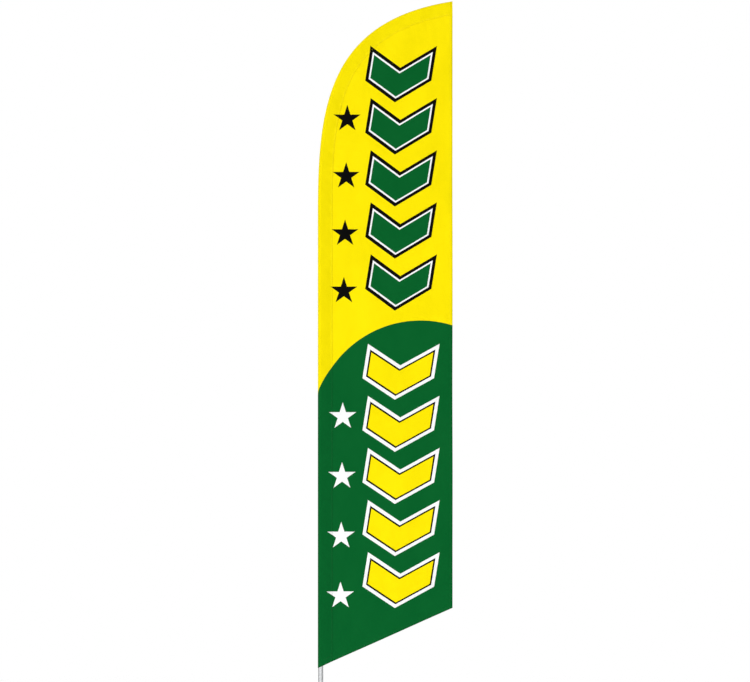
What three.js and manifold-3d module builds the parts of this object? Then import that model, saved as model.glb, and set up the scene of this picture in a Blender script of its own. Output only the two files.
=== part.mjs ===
// A feather flag on a sectional pole, standing in the ground on a spike that lets it turn.
//
// Millimetres, +Z up. The origin is on the pole's axis at ground level, the underside of the foot plate.
// +X runs from the pole to the flag's free edge, and +Y is the flag's back.
//
// The pole is modelled straight, as it is before the flag is drawn over it. What is on its upper part is
// then bent along one curve, as the flag's cut bends the real tip.

import * as THREE from "three";
import { mergeVertices } from "three/addons/utils/BufferGeometryUtils.js";
import Module from "manifold-3d";

const wasm = await Module();
wasm.setup();

// ---------------------------------------------------------------------------------------------------
// Driving dimensions
// ---------------------------------------------------------------------------------------------------

const GAP = 0.3; // between faces that touch on the real object
const SEGMENTS = 20; // round a turned piece
const BEND_STEPS = 24; // straight steps along the bend
const WIDE = 10000; // a cutting block's reach past anything it cuts

// Flag
const FLAG_HEIGHT = 3505; // lowest corner to tip
const FLAG_WIDTH = 708; // outer edge of the sleeve to the free edge
const FLAG_LIFT = 782; // lowest corner above the ground, which makes the pole 4572 long: a 15 ft pole
const BOTTOM_RISE = 315; // the bottom edge climbs this much from the pole to the free edge
const CLOTH = 0.8; // the cloth's solid thickness
const HEM = 16; // width of a folded hem

// The flag's curved shoulder, which the pole's tip is bent along. Each hold is how far the curve keeps to
// that end's direction, as a share of the shoulder's rise or of its width.
const SHOULDER_RISE = 1069; // from where the curve leaves the upright to the tip
const HOLD_UPRIGHT = 0.505;
const HOLD_TIP = 0.921;
const TIP_CLIMB = THREE.MathUtils.degToRad(9.1); // the tip's slope above level

// Pole
const TUBE_RADIUS = 12.7;
const TUBE_WALLS = [1.6, 1.5, 2.7]; // of the three lower sections
const ROD_TIP = 3.5; // radius of the rod at its end
const SECTION_LENGTH = 1205; // each of the three lower sections
const SOCKET_DEPTH = 100; // how far a section goes into the one below
const COLLAR = { height: 26, lip: 1.1, slope: 8 };
const FERRULE = { height: 44, wall: 3, round: 2 };
const TIP_CAP = { wall: 1.7, length: 26, over: 16, round: 3 }; // over is how much of the rod it covers

// Sleeve
const SLEEVE = { slack: 0.7, tipSlack: 1.1, seam: 62, stitched: 8 }; // seam is from the pole's axis
const MOUTH_BAND = 34; // height of the webbing inside the mouth
const END_SEAM = 8; // the sewn end of the sleeve
const POCKET = 62; // length of the webbing cup that takes the rod's tip
const TIP_ROOM = 14; // from the cup to the end of the sleeve

// Ground spike
const BLADE = { length: 470, halfWidth: 36, thickness: 4, taperFrom: 150 };
const PLATE = { radius: 55, thickness: 6, chamfer: 1.2 };
const HOUSING = { wall: 4, below: 54, above: 40, lip: 2 };
const PLUG = { floor: 3, rim: 2.5 };
const BEARING = { outer: 17.5, height: 11, ball: 2.8, balls: 7, cage: 0.6, ringGap: 4.1 };
const CIRCLIP = { thickness: 1.4, depth: 1.2, width: 3, opening: 5 };

// Spindle
const SHAFT = 7.5; // radius in the bearings
const SPINDLE = { play: 1.5, top: 300, rim: 1, flangeHeight: 6, point: 3, end: 2.5 };
const DUST_CAP = { web: 1.4, wall: 2.6, skirt: 12, play: 0.8, round: 1 };
const O_RING = { cord: 1.25, proud: 0.9, aboveFoot: 36, underTop: 32 };

// Keeper and the strap that hooks on to it
const KEEPER = { height: 16, wall: 1.3, belowFlag: 126, ear: 11, split: 3 };
const HOOK = { width: 5, bar: 4, lip: 7, lipThickness: 2.6, play: 5 };
const STRAP = { width: 22, thickness: 1.5, lap: 60 };
const EYELET = { inner: 6, outer: 10, flange: 0.8 };
const SCREW = { radius: 2, head: 3.8, headHeight: 2.4, nut: 4, nutHeight: 3.2, end: 1.5 };

// ---------------------------------------------------------------------------------------------------
// Sizes and places worked out from them
// ---------------------------------------------------------------------------------------------------

const housingInner = BEARING.outer + GAP;
const housingOuter = housingInner + HOUSING.wall;
const housingClipTop = HOUSING.above - HOUSING.lip;
const housingClipBottom = housingClipTop - CIRCLIP.thickness;
const upperBearing = housingClipBottom - GAP - BEARING.height;
const lowerBearing = PLUG.floor + SPINDLE.end + CIRCLIP.thickness + 4 * GAP - HOUSING.below;
const boreRadius = SHAFT + GAP;
const pitchRadius = (boreRadius + BEARING.outer) / 2;
const innerRingEdge = pitchRadius - BEARING.ringGap / 2;
const outerRingEdge = pitchRadius + BEARING.ringGap / 2;

const dustCapBottom = HOUSING.above + GAP;
const flangeBottom = dustCapBottom + DUST_CAP.web + GAP;
const flangeTop = flangeBottom + SPINDLE.flangeHeight;

// Each section fits inside the one below, and the rod inside the last.
function tube(outer, wall) {
  return { outer, inner: outer - wall };
}

const section1 = tube(TUBE_RADIUS, TUBE_WALLS[0]);
const section2 = tube(section1.inner - GAP, TUBE_WALLS[1]);
const section3 = tube(section2.inner - GAP, TUBE_WALLS[2]);
const rodFootRadius = section3.inner - GAP;
const spindleRadius = section1.inner - SPINDLE.play;
const ferruleInner = section1.outer + GAP;
const ferruleOuter = ferruleInner + FERRULE.wall;

const tipBore = ROD_TIP + GAP;
const tipCapRadius = tipBore + TIP_CAP.wall;
const pocketInner = tipCapRadius + GAP;
const pocketOuter = pocketInner + CLOTH;
const sleeveTipRadius = pocketOuter + SLEEVE.tipSlack + CLOTH;
const sleeveInner = section1.outer + SLEEVE.slack + CLOTH + GAP;
const sleeveOuter = sleeveInner + CLOTH;
const freeEdge = FLAG_WIDTH - sleeveOuter;

// The pole's centre line, from where it leaves the upright. It ends as far inside the flag's tip as the
// sleeve is thick there.
const bendStart = FLAG_LIFT + FLAG_HEIGHT - SHOULDER_RISE;
const tip = new THREE.Vector3(
  freeEdge + sleeveTipRadius * Math.sin(TIP_CLIMB),
  0,
  SHOULDER_RISE - sleeveTipRadius * Math.cos(TIP_CLIMB),
);
const tipDirection = new THREE.Vector3(Math.cos(TIP_CLIMB), 0, Math.sin(TIP_CLIMB));
const bend = new THREE.CubicBezierCurve3(
  new THREE.Vector3(),
  new THREE.Vector3(0, 0, HOLD_UPRIGHT * SHOULDER_RISE),
  tip.clone().addScaledVector(tipDirection, -HOLD_TIP * tip.x),
  tip,
);
const bendLength = bend.getLength();
const bendStep = bendLength / BEND_STEPS;
const bendPoints = bend.getSpacedPoints(BEND_STEPS);
const bendDirections = bendPoints.map((_, i) => bend.getTangentAt(i / BEND_STEPS));

const poleFoot = flangeTop + GAP;
const pocketFloor = bendStart + bendLength - TIP_ROOM - CLOTH;
const poleEnd = pocketFloor - GAP - TIP_CAP.length + TIP_CAP.over;
const section1End = poleFoot + SECTION_LENGTH;
const section2Foot = section1End - SOCKET_DEPTH;
const section2End = section2Foot + SECTION_LENGTH;
const section3Foot = section2End - SOCKET_DEPTH;
const section3End = section3Foot + SECTION_LENGTH;
const rodFoot = section3End - SOCKET_DEPTH;

const keeperMiddle = FLAG_LIFT - KEEPER.belowFlag;
const keeperInner = section1.outer + GAP;
const keeperOuter = keeperInner + KEEPER.wall;
const barBottom = keeperMiddle - HOOK.bar / 2;
const eyeletMiddle = barBottom - GAP + Math.sqrt(EYELET.inner ** 2 - (HOOK.width / 2) ** 2);
const strapFront = Math.max(sleeveOuter + GAP, keeperOuter + EYELET.flange + 2 * GAP);
const strapBack = strapFront + STRAP.thickness;
const eyeletBack = strapBack + GAP + EYELET.flange;

// The height of the bottom edge at x.
function bottomEdge(x) {
  return FLAG_LIFT + ((x + sleeveOuter) * BOTTOM_RISE) / FLAG_WIDTH;
}

function rodRadius(s) {
  return THREE.MathUtils.mapLinear(s, rodFoot, poleEnd, rodFootRadius, ROD_TIP);
}

// ---------------------------------------------------------------------------------------------------
// Bending
// ---------------------------------------------------------------------------------------------------

// Heights from bottom to top for a piece that is bent later, one at each step of the bend.
function stations(bottom, top) {
  const knots = bendPoints.map((_, i) => bendStart + i * bendStep);
  return [bottom, ...knots.filter((s) => s > bottom && s < top), top];
}

// The centre line at s, the height that a point of the pole has before it is bent. Between two steps it is
// straight, so that pieces one inside the other keep their gap.
function centreLine(s) {
  if (s <= bendStart) {
    return { at: new THREE.Vector3(0, 0, s), along: new THREE.Vector3(0, 0, 1) };
  }
  const place = Math.min((s - bendStart) / bendStep, BEND_STEPS);
  const i = Math.min(Math.floor(place), BEND_STEPS - 1);
  const at = bendPoints[i].clone().lerp(bendPoints[i + 1], place - i);
  const along = bendDirections[i].clone().lerp(bendDirections[i + 1], place - i);
  at.addScaledVector(along, Math.max(0, s - bendStart - bendLength));
  at.z += bendStart;
  return { at, along };
}

// The point [x, z] that stands off the centre line at s by that much, towards the flag.
function besidePole(s, off) {
  const { at, along } = centreLine(s);
  return [at.x + off * along.z, at.z - off * along.x];
}

function bent(geometry) {
  const place = geometry.getAttribute("position");
  for (let i = 0; i < place.count; i++) {
    const [x, z] = besidePole(place.getZ(i), place.getX(i));
    place.setXYZ(i, x, place.getY(i), z);
  }
  return geometry;
}

// Thins a straight sleeve towards the tip. Its round side shrinks, and its edge at x = end stays.
function narrowed(geometry, end) {
  const place = geometry.getAttribute("position");
  for (let i = 0; i < place.count; i++) {
    const [x, y, s] = [place.getX(i), place.getY(i), place.getZ(i)];
    const share = THREE.MathUtils.clamp((s - bendStart) / bendLength, 0, 1);
    const less = share * (sleeveOuter - sleeveTipRadius);
    if (x < 0) {
      const k = 1 - less / Math.hypot(x, y);
      place.setXY(i, x * k, y * k);
    } else {
      place.setY(i, y - Math.sign(y) * less * (1 - x / end));
    }
  }
  return geometry;
}

// ---------------------------------------------------------------------------------------------------
// Shapes
// ---------------------------------------------------------------------------------------------------

// A solid turned about Z from a profile of [radius, height] points, anticlockwise. A profile that doesn't
// start on the axis is closed.
function turned(profile, segments = SEGMENTS) {
  const closed = profile[0][0] > 0 ? [...profile, profile[0]] : profile;
  const points = closed.map(([r, z]) => new THREE.Vector2(r, z));
  return new THREE.LatheGeometry(points, segments).rotateX(Math.PI / 2);
}

function ring(inner, outer, bottom, top) {
  return turned([[inner, bottom], [outer, bottom], [outer, top], [inner, top]]);
}

// A flat piece with an outline of [x, z] points, between the depths y0 and y1.
function flat(outline, y0, y1, holes = []) {
  const shape = new THREE.Shape(outline.map(([x, z]) => new THREE.Vector2(x, z)));
  shape.holes.push(...holes);
  const made = new THREE.ExtrudeGeometry(shape, { depth: y1 - y0, bevelEnabled: false });
  return made.rotateX(Math.PI / 2).translate(0, y1, 0);
}

function block(x0, x1, y0, y1, z0, z1) {
  const made = new THREE.BoxGeometry(x1 - x0, y1 - y0, z1 - z0);
  return made.translate((x0 + x1) / 2, (y0 + y1) / 2, (z0 + z1) / 2);
}

// A cylinder along Y between y0 and y1. With six sides it is a nut.
function crossRod(radius, x, z, y0, y1, sides = SEGMENTS) {
  const made = new THREE.CylinderGeometry(radius, radius, y1 - y0, sides);
  return made.translate(x, (y0 + y1) / 2, z);
}

function solid(geometry) {
  const bare = geometry.index ? geometry.toNonIndexed() : geometry.clone();
  bare.deleteAttribute("normal");
  bare.deleteAttribute("uv");
  const merged = mergeVertices(bare);
  const faces = [];
  for (let i = 0; i < merged.index.count; i += 3) {
    const [a, b, c] = merged.index.array.subarray(i, i + 3);
    if (a !== b && b !== c && c !== a) {
      faces.push(a, b, c);
    }
  }
  return new wasm.Manifold(
    new wasm.Mesh({
      numProp: 3,
      vertProperties: merged.getAttribute("position").array,
      triVerts: new Uint32Array(faces),
    }),
  );
}

function geometryOf(made) {
  const mesh = made.getMesh();
  return new THREE.BufferGeometry()
    .setAttribute("position", new THREE.BufferAttribute(new Float32Array(mesh.vertProperties), 3))
    .setIndex(new THREE.BufferAttribute(new Uint32Array(mesh.triVerts), 1));
}

function cut(body, ...tools) {
  return geometryOf(tools.reduce((left, tool) => left.subtract(solid(tool)), solid(body)));
}

function joined(...bodies) {
  return geometryOf(bodies.map(solid).reduce((all, body) => all.add(body)));
}

function common(...bodies) {
  return geometryOf(bodies.map(solid).reduce((shared, body) => shared.intersect(body)));
}

// ---------------------------------------------------------------------------------------------------
// Materials and the group
// ---------------------------------------------------------------------------------------------------

function finish(color, roughness, metalness) {
  return new THREE.MeshStandardMaterial({ color, roughness, metalness });
}

const finishes = {
  cloth: finish(0xffeb00, 0.85, 0),
  webbing: finish(0x1a1a1a, 0.9, 0),
  aluminium: finish(0xc8cacc, 0.35, 1),
  fibreglass: finish(0x23262a, 0.4, 0),
  nylon: finish(0x141414, 0.55, 0),
  rubber: finish(0x0e0e0e, 0.85, 0),
  zinc: finish(0xa9adb0, 0.45, 1),
  bright: finish(0xd4d6d8, 0.2, 1),
};

const flag = new THREE.Group();

function add(name, geometry, material) {
  const mesh = new THREE.Mesh(geometry, material);
  mesh.name = name;
  flag.add(mesh);
}

// ---------------------------------------------------------------------------------------------------
// Ground spike
// ---------------------------------------------------------------------------------------------------

// Two plates slotted together in a cross. Each has a fin on either side of the housing, and a long point.
function addBlades() {
  const top = -GAP;
  const notch = housingOuter + GAP;
  const notchFloor = -HOUSING.below - GAP;
  const outline = [
    [-BLADE.halfWidth, top], [-BLADE.halfWidth, -BLADE.taperFrom], [0, -BLADE.length],
    [BLADE.halfWidth, -BLADE.taperFrom], [BLADE.halfWidth, top],
    [notch, top], [notch, notchFloor], [-notch, notchFloor], [-notch, top],
  ];
  const half = BLADE.thickness / 2;
  const slot = half + GAP;
  const crossing = (notchFloor - BLADE.length) / 2;
  const blade = flat(outline, -half, half);
  const upperSlot = block(-slot, slot, -WIDE, WIDE, crossing, 0);
  const lowerSlot = block(-slot, slot, -WIDE, WIDE, -WIDE, crossing + GAP);
  add("spike_blade_side", cut(blade, upperSlot), finishes.zinc);
  add("spike_blade_cross", cut(blade, lowerSlot).rotateZ(Math.PI / 2), finishes.zinc);
}

// A split ring that snaps into a groove.
function circlip(inner, outer, bottom) {
  const open = CIRCLIP.opening / 2;
  return cut(
    ring(inner, outer, bottom, bottom + CIRCLIP.thickness),
    block(0, WIDE, -open, open, -WIDE, WIDE),
  );
}

function addHousing() {
  const hole = housingOuter + GAP;
  const { radius, thickness, chamfer } = PLATE;
  const plate = [
    [hole, 0], [radius - chamfer, 0], [radius, chamfer],
    [radius, thickness - chamfer], [radius - chamfer, thickness], [hole, thickness],
  ];
  add("foot_plate", turned(plate, 2 * SEGMENTS), finishes.zinc);

  const groove = housingInner + CIRCLIP.depth;
  const housing = [
    [housingInner, -HOUSING.below], [housingOuter, -HOUSING.below],
    [housingOuter, HOUSING.above], [housingInner, HOUSING.above],
    [housingInner, housingClipTop + GAP], [groove, housingClipTop + GAP],
    [groove, housingClipBottom - GAP], [housingInner, housingClipBottom - GAP],
  ];
  add("bearing_housing", turned(housing), finishes.zinc);
  add(
    "housing_clip",
    circlip(groove - GAP - CIRCLIP.width, groove - GAP, housingClipBottom),
    finishes.bright,
  );

  const rim = BEARING.outer - PLUG.rim;
  const floor = PLUG.floor - HOUSING.below;
  const plug = [
    [0, -HOUSING.below], [BEARING.outer, -HOUSING.below], [BEARING.outer, lowerBearing - GAP],
    [rim, lowerBearing - GAP], [rim, floor], [0, floor],
  ];
  add("housing_plug", turned(plug), finishes.zinc);
  const spacerBottom = lowerBearing + BEARING.height + GAP;
  add("bearing_spacer", ring(rim, BEARING.outer, spacerBottom, upperBearing - GAP), finishes.zinc);
}

// A ball bearing in three pieces: two grooved rings, and the balls in their cage.
function addBearing(name, bottom) {
  const top = bottom + BEARING.height;
  const middle = (bottom + top) / 2;
  const grooveRadius = BEARING.ball + GAP;

  // The groove in the edge of a ring, upwards in the inner ring and downwards in the outer one.
  function groove(edge) {
    const side = Math.sign(pitchRadius - edge);
    const reach = Math.acos(Math.abs(pitchRadius - edge) / grooveRadius);
    return [-1, -0.5, 0, 0.5, 1].map((share) => [
      pitchRadius - side * grooveRadius * Math.cos(share * reach),
      middle + side * grooveRadius * Math.sin(share * reach),
    ]);
  }

  const innerRing = [
    [boreRadius, bottom], [innerRingEdge, bottom], ...groove(innerRingEdge),
    [innerRingEdge, top], [boreRadius, top],
  ];
  const outerRing = [
    [BEARING.outer, bottom], [BEARING.outer, top], [outerRingEdge, top],
    ...groove(outerRingEdge), [outerRingEdge, bottom],
  ];
  add(name + "_inner_ring", turned(innerRing), finishes.bright);
  add(name + "_outer_ring", turned(outerRing), finishes.bright);

  const half = BEARING.cage;
  const cage = ring(pitchRadius - half, pitchRadius + half, middle - half, middle + half);
  const balls = Array.from({ length: BEARING.balls }, (_, i) => {
    const ball = new THREE.IcosahedronGeometry(BEARING.ball, 1);
    return ball.translate(pitchRadius, 0, middle).rotateZ((2 * Math.PI * i) / BEARING.balls);
  });
  add(name + "_balls", joined(cage, ...balls), finishes.bright);
}

// ---------------------------------------------------------------------------------------------------
// Spindle
// ---------------------------------------------------------------------------------------------------

function addSpindle() {
  const { top, point } = SPINDLE;
  const radius = spindleRadius;
  const shoulder = innerRingEdge - GAP;
  const flange = ferruleOuter + SPINDLE.rim;
  const clipTop = lowerBearing - GAP;
  const clipBottom = clipTop - CIRCLIP.thickness;
  const clipGroove = SHAFT - CIRCLIP.depth;
  const end = clipBottom - GAP - SPINDLE.end;
  const shoulderBottom = upperBearing + BEARING.height + GAP;
  const seat = radius - 2 * O_RING.cord + O_RING.proud;
  const half = O_RING.cord + GAP;
  const rings = { o_ring_lower: poleFoot + O_RING.aboveFoot, o_ring_upper: top - O_RING.underTop };

  const profile = [
    [0, end], [SHAFT, end], [SHAFT, clipBottom - GAP], [clipGroove, clipBottom - GAP],
    [clipGroove, clipTop + GAP], [SHAFT, clipTop + GAP], [SHAFT, shoulderBottom],
    [shoulder, shoulderBottom], [shoulder, flangeBottom], [flange, flangeBottom],
    [flange, flangeTop], [radius, flangeTop],
  ];
  for (const z of Object.values(rings)) {
    profile.push([radius, z - half], [seat, z - half], [seat, z + half], [radius, z + half]);
  }
  profile.push([radius, top - 2 * point], [radius - point, top], [0, top]);
  add("spindle", turned(profile), finishes.bright);
  const clipInner = clipGroove + GAP;
  add("spindle_clip", circlip(clipInner, clipInner + CIRCLIP.width, clipBottom), finishes.bright);

  for (const [name, z] of Object.entries(rings)) {
    const { cord } = O_RING;
    const torus = new THREE.TorusGeometry(seat + GAP + cord, cord, 6, SEGMENTS);
    add(name, torus.translate(0, 0, z), finishes.rubber);
  }
}

function addDustCap() {
  const bore = innerRingEdge;
  const inside = housingOuter + DUST_CAP.play;
  const outside = inside + DUST_CAP.wall;
  const top = dustCapBottom + DUST_CAP.web;
  const skirtBottom = dustCapBottom - DUST_CAP.skirt;
  const profile = [
    [bore, dustCapBottom], [inside, dustCapBottom], [inside, skirtBottom], [outside, skirtBottom],
    [outside, top - DUST_CAP.round], [outside - DUST_CAP.round, top], [bore, top],
  ];
  add("dust_cap", turned(profile), finishes.rubber);
}

// ---------------------------------------------------------------------------------------------------
// Pole
// ---------------------------------------------------------------------------------------------------

// The collar on a section's foot, which rests on the end of the section below. Both are given as radii.
function collar(around, below, bottom) {
  const inner = around + GAP;
  const top = bottom + COLLAR.height;
  return turned([
    [inner, bottom], [below, bottom], [below, top - COLLAR.slope], [inner + COLLAR.lip, top], [inner, top],
  ]);
}

function addPole() {
  add("pole_section_1", ring(section1.inner, section1.outer, poleFoot, section1End), finishes.aluminium);
  add("pole_section_2", ring(section2.inner, section2.outer, section2Foot, section2End), finishes.aluminium);

  const heights = stations(section3Foot, section3End);
  const outside = heights.map((s) => [section3.outer, s]);
  const inside = heights.map((s) => [section3.inner, s]);
  add("pole_section_3", bent(turned([...outside, ...inside.toReversed()])), finishes.fibreglass);

  const side = stations(rodFoot, poleEnd).map((s) => [rodRadius(s), s]);
  add("pole_tip_rod", bent(turned([[0, rodFoot], ...side, [0, poleEnd]])), finishes.fibreglass);

  add("joint_collar_1", collar(section2.outer, section1.outer, section1End + GAP), finishes.nylon);
  add("joint_collar_2", collar(section3.outer, section2.outer, section2End + GAP), finishes.nylon);
  const upperCollar = collar(rodRadius(section3End), section3.outer, section3End + GAP);
  add("joint_collar_3", bent(upperCollar), finishes.nylon);
}

function addPoleEnds() {
  const ferruleTop = poleFoot + FERRULE.height;
  const ferrule = [
    [ferruleInner, poleFoot], [ferruleOuter, poleFoot], [ferruleOuter, ferruleTop - FERRULE.round],
    [ferruleOuter - FERRULE.round, ferruleTop], [ferruleInner, ferruleTop],
  ];
  add("pole_foot_ferrule", turned(ferrule), finishes.nylon);

  const capBottom = poleEnd - TIP_CAP.over;
  const capTop = capBottom + TIP_CAP.length;
  const cap = [
    [0, poleEnd + GAP], [tipBore, poleEnd + GAP], [tipBore, capBottom], [tipCapRadius, capBottom],
    [tipCapRadius, capTop - TIP_CAP.round], [tipCapRadius - TIP_CAP.round, capTop], [0, capTop],
  ];
  add("pole_tip_cap", bent(turned(cap)), finishes.rubber);
}

// ---------------------------------------------------------------------------------------------------
// Flag
// ---------------------------------------------------------------------------------------------------

// The seam's points [x, z] beside the bend, up to the free edge.
function seamLine() {
  const heights = stations(bendStart, bendStart + bendLength + SLEEVE.seam);
  const points = heights.map((s) => besidePole(s, SLEEVE.seam));
  const inside = points.filter(([x]) => x < freeEdge);
  const [a, b] = [inside.at(-1), points[inside.length]];
  return [...inside, [freeEdge, THREE.MathUtils.mapLinear(freeEdge, a[0], b[0], a[1], b[1])]];
}

function addPanel() {
  const half = CLOTH / 2;
  const left = SLEEVE.seam;
  const seam = seamLine();
  const panel = [[left, bottomEdge(left)], [freeEdge, bottomEdge(freeEdge)], ...seam.toReversed()];
  const panelBody = flat(panel, -half, half);
  add("flag_panel", panelBody, finishes.cloth);

  // Hems are turned to the back, and cut to the panel's outline.
  const hemFront = half + GAP;
  const behind = flat(panel, hemFront, hemFront + CLOTH);
  const hemLeft = freeEdge - HEM;
  add("free_edge_hem", common(behind, block(hemLeft, WIDE, 0, WIDE, 0, WIDE)), finishes.cloth);
  const slant = (HEM * Math.hypot(FLAG_WIDTH, BOTTOM_RISE)) / FLAG_WIDTH;
  const right = hemLeft - GAP;
  const bottomHem = [
    [left, bottomEdge(left)], [right, bottomEdge(right)],
    [right, bottomEdge(right) + slant], [left, bottomEdge(left) + slant],
  ];
  add("bottom_hem", flat(bottomHem, hemFront, hemFront + CLOTH), finishes.cloth);
}

// A full body in the shape of the sleeve: round the pole on one side, and drawn in from there to a flat
// edge at x = end that is two tails thick. It runs past both ends of the flag by that much.
function sleeveBody(radius, end, tail, past) {
  const touches = Math.atan2(tail, end) + Math.acos(radius / Math.hypot(end, tail));
  const shape = new THREE.Shape();
  shape.moveTo(end, -tail);
  shape.lineTo(end, tail);
  shape.absarc(0, 0, radius, touches, 2 * Math.PI - touches);
  const heights = stations(FLAG_LIFT - past, bendStart + bendLength + past);
  const steps = heights.length - 1;
  const made = new THREE.ExtrudeGeometry(shape, {
    depth: steps,
    steps,
    curveSegments: 7,
    bevelEnabled: false,
  });
  const place = made.getAttribute("position");
  for (let i = 0; i < place.count; i++) {
    place.setZ(i, heights[Math.round(place.getZ(i))]);
  }
  return bent(narrowed(made, end));
}

// Everything from lift above the bottom edge upwards, as far as right.
function aboveBottom(lift, right) {
  const left = -2 * sleeveOuter;
  return flat(
    [[left, bottomEdge(left) + lift], [right, bottomEdge(right) + lift], [right, WIDE], [left, WIDE]],
    -WIDE,
    WIDE,
  );
}

function addSleeve() {
  const past = SLEEVE.seam;
  const crease = CLOTH / 5;
  const insideEnd = SLEEVE.seam - GAP - SLEEVE.stitched;
  const outside = sleeveBody(sleeveOuter, SLEEVE.seam - GAP, CLOTH, past);
  const inside = sleeveBody(sleeveInner, insideEnd, crease, past + 1);
  const endSeam = freeEdge - END_SEAM;
  add("pole_sleeve", common(cut(outside, inside), aboveBottom(0, endSeam - GAP)), finishes.cloth);
  add("sleeve_end_seam", common(outside, block(endSeam, freeEdge, -WIDE, WIDE, 0, WIDE)), finishes.cloth);

  const bandEnd = insideEnd - SLEEVE.stitched;
  const bandOutside = sleeveBody(sleeveInner - GAP, bandEnd, CLOTH, past);
  const bandInside = sleeveBody(sleeveInner - GAP - CLOTH, bandEnd - SLEEVE.stitched, crease, past + 1);
  const band = cut(bandOutside, bandInside, aboveBottom(MOUTH_BAND, WIDE));
  add("mouth_webbing", common(band, aboveBottom(0, WIDE)), finishes.webbing);
}

// A webbing cup inside the sleeve's end. The rod's capped tip pushes into it.
function addTipPocket() {
  const heights = stations(pocketFloor - POCKET, pocketFloor);
  const inside = heights.map((s) => [pocketInner, s]);
  const outside = heights.map((s) => [pocketOuter, s]);
  const cup = [
    [0, pocketFloor], ...inside.toReversed(), ...outside,
    [pocketOuter, pocketFloor + CLOTH], [0, pocketFloor + CLOTH],
  ];
  add("tip_pocket", bent(turned(cup)), finishes.webbing);
}

// ---------------------------------------------------------------------------------------------------
// Keeper: a clamped band with a hook, and the flag's strap, which hooks on to it and holds the flag down
// ---------------------------------------------------------------------------------------------------

function addKeeper() {
  const bottom = keeperMiddle - KEEPER.height / 2;
  const gap = KEEPER.split / 2;
  const ear = gap + KEEPER.wall;
  const earEnd = keeperOuter + KEEPER.ear;
  const screwX = keeperOuter + KEEPER.ear / 2;
  const outerTurn = Math.asin(ear / keeperOuter);
  const innerTurn = Math.asin(gap / keeperInner);
  const outline = new THREE.Shape();
  outline.moveTo(earEnd, gap);
  outline.lineTo(earEnd, ear);
  outline.absarc(0, 0, keeperOuter, outerTurn, 2 * Math.PI - outerTurn);
  outline.lineTo(earEnd, -ear);
  outline.lineTo(earEnd, -gap);
  outline.absarc(0, 0, keeperInner, 2 * Math.PI - innerTurn, innerTurn, true);
  const band = new THREE.ExtrudeGeometry(outline, { depth: KEEPER.height, bevelEnabled: false });

  const hookRoot = keeperOuter - KEEPER.wall / 2;
  const lipFront = eyeletBack + HOOK.play;
  const lipBack = lipFront + HOOK.lipThickness;
  const lipBottom = barBottom - HOOK.lip;
  const hook = [
    [hookRoot, barBottom], [lipFront, barBottom], [lipFront, lipBottom], [lipBack, lipBottom],
    [lipBack, barBottom + HOOK.bar], [hookRoot, barBottom + HOOK.bar],
  ];
  const hookBody = flat(hook, -HOOK.width / 2, HOOK.width / 2).rotateZ(Math.PI / 2);
  const hole = crossRod(SCREW.radius + GAP, screwX, keeperMiddle, -WIDE, WIDE);
  add("keeper_band", cut(joined(band.translate(0, 0, bottom), hookBody), hole), finishes.bright);

  const headBack = -ear - GAP;
  const nutFront = ear + GAP;
  const nutBack = nutFront + SCREW.nutHeight;
  const screw = joined(
    crossRod(SCREW.head, screwX, keeperMiddle, headBack - SCREW.headHeight, headBack),
    crossRod(SCREW.radius, screwX, keeperMiddle, headBack - 1, nutBack + SCREW.end),
  );
  add("keeper_screw", screw, finishes.bright);
  const nut = crossRod(SCREW.nut, screwX, keeperMiddle, nutFront, nutBack, 6);
  add("keeper_nut", cut(nut, hole), finishes.bright);
}

function addStrap() {
  const half = STRAP.width / 2;
  const barrel = EYELET.inner + EYELET.flange;
  const top = bottomEdge(0) + STRAP.lap;
  const roundEnd = Array.from({ length: 9 }, (_, i) => {
    const turn = Math.PI * (1 + i / 8);
    return [half * Math.cos(turn), eyeletMiddle + half * Math.sin(turn)];
  });
  const hole = new THREE.Path().absarc(0, eyeletMiddle, barrel + GAP, 0, 2 * Math.PI);
  const strap = flat([...roundEnd, [half, top], [-half, top]], strapFront, strapBack, [hole]);
  add("tie_strap", strap, finishes.webbing);

  const front = strapFront - GAP;
  const back = strapBack + GAP;
  const eyelet = turned([
    [EYELET.inner, front - EYELET.flange], [EYELET.outer, front - EYELET.flange], [EYELET.outer, front],
    [barrel, front], [barrel, back], [EYELET.outer, back], [EYELET.outer, eyeletBack],
    [EYELET.inner, eyeletBack],
  ]);
  add("tie_eyelet", eyelet.rotateX(-Math.PI / 2).translate(0, 0, eyeletMiddle), finishes.bright);
}

// ---------------------------------------------------------------------------------------------------

addBlades();
addHousing();
addBearing("lower_bearing", lowerBearing);
addBearing("upper_bearing", upperBearing);
addSpindle();
addDustCap();
addPole();
addPoleEnds();
addPanel();
addSleeve();
addTipPocket();
addKeeper();
addStrap();

export default flag;
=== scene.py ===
"""The looks of a feather flag on its pole and ground spike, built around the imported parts.

Metres, +Z up. The origin is on the pole's axis at ground level. +X runs from the pole to the flag's free
edge, and +Y is the flag's back.
"""

import math

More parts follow.
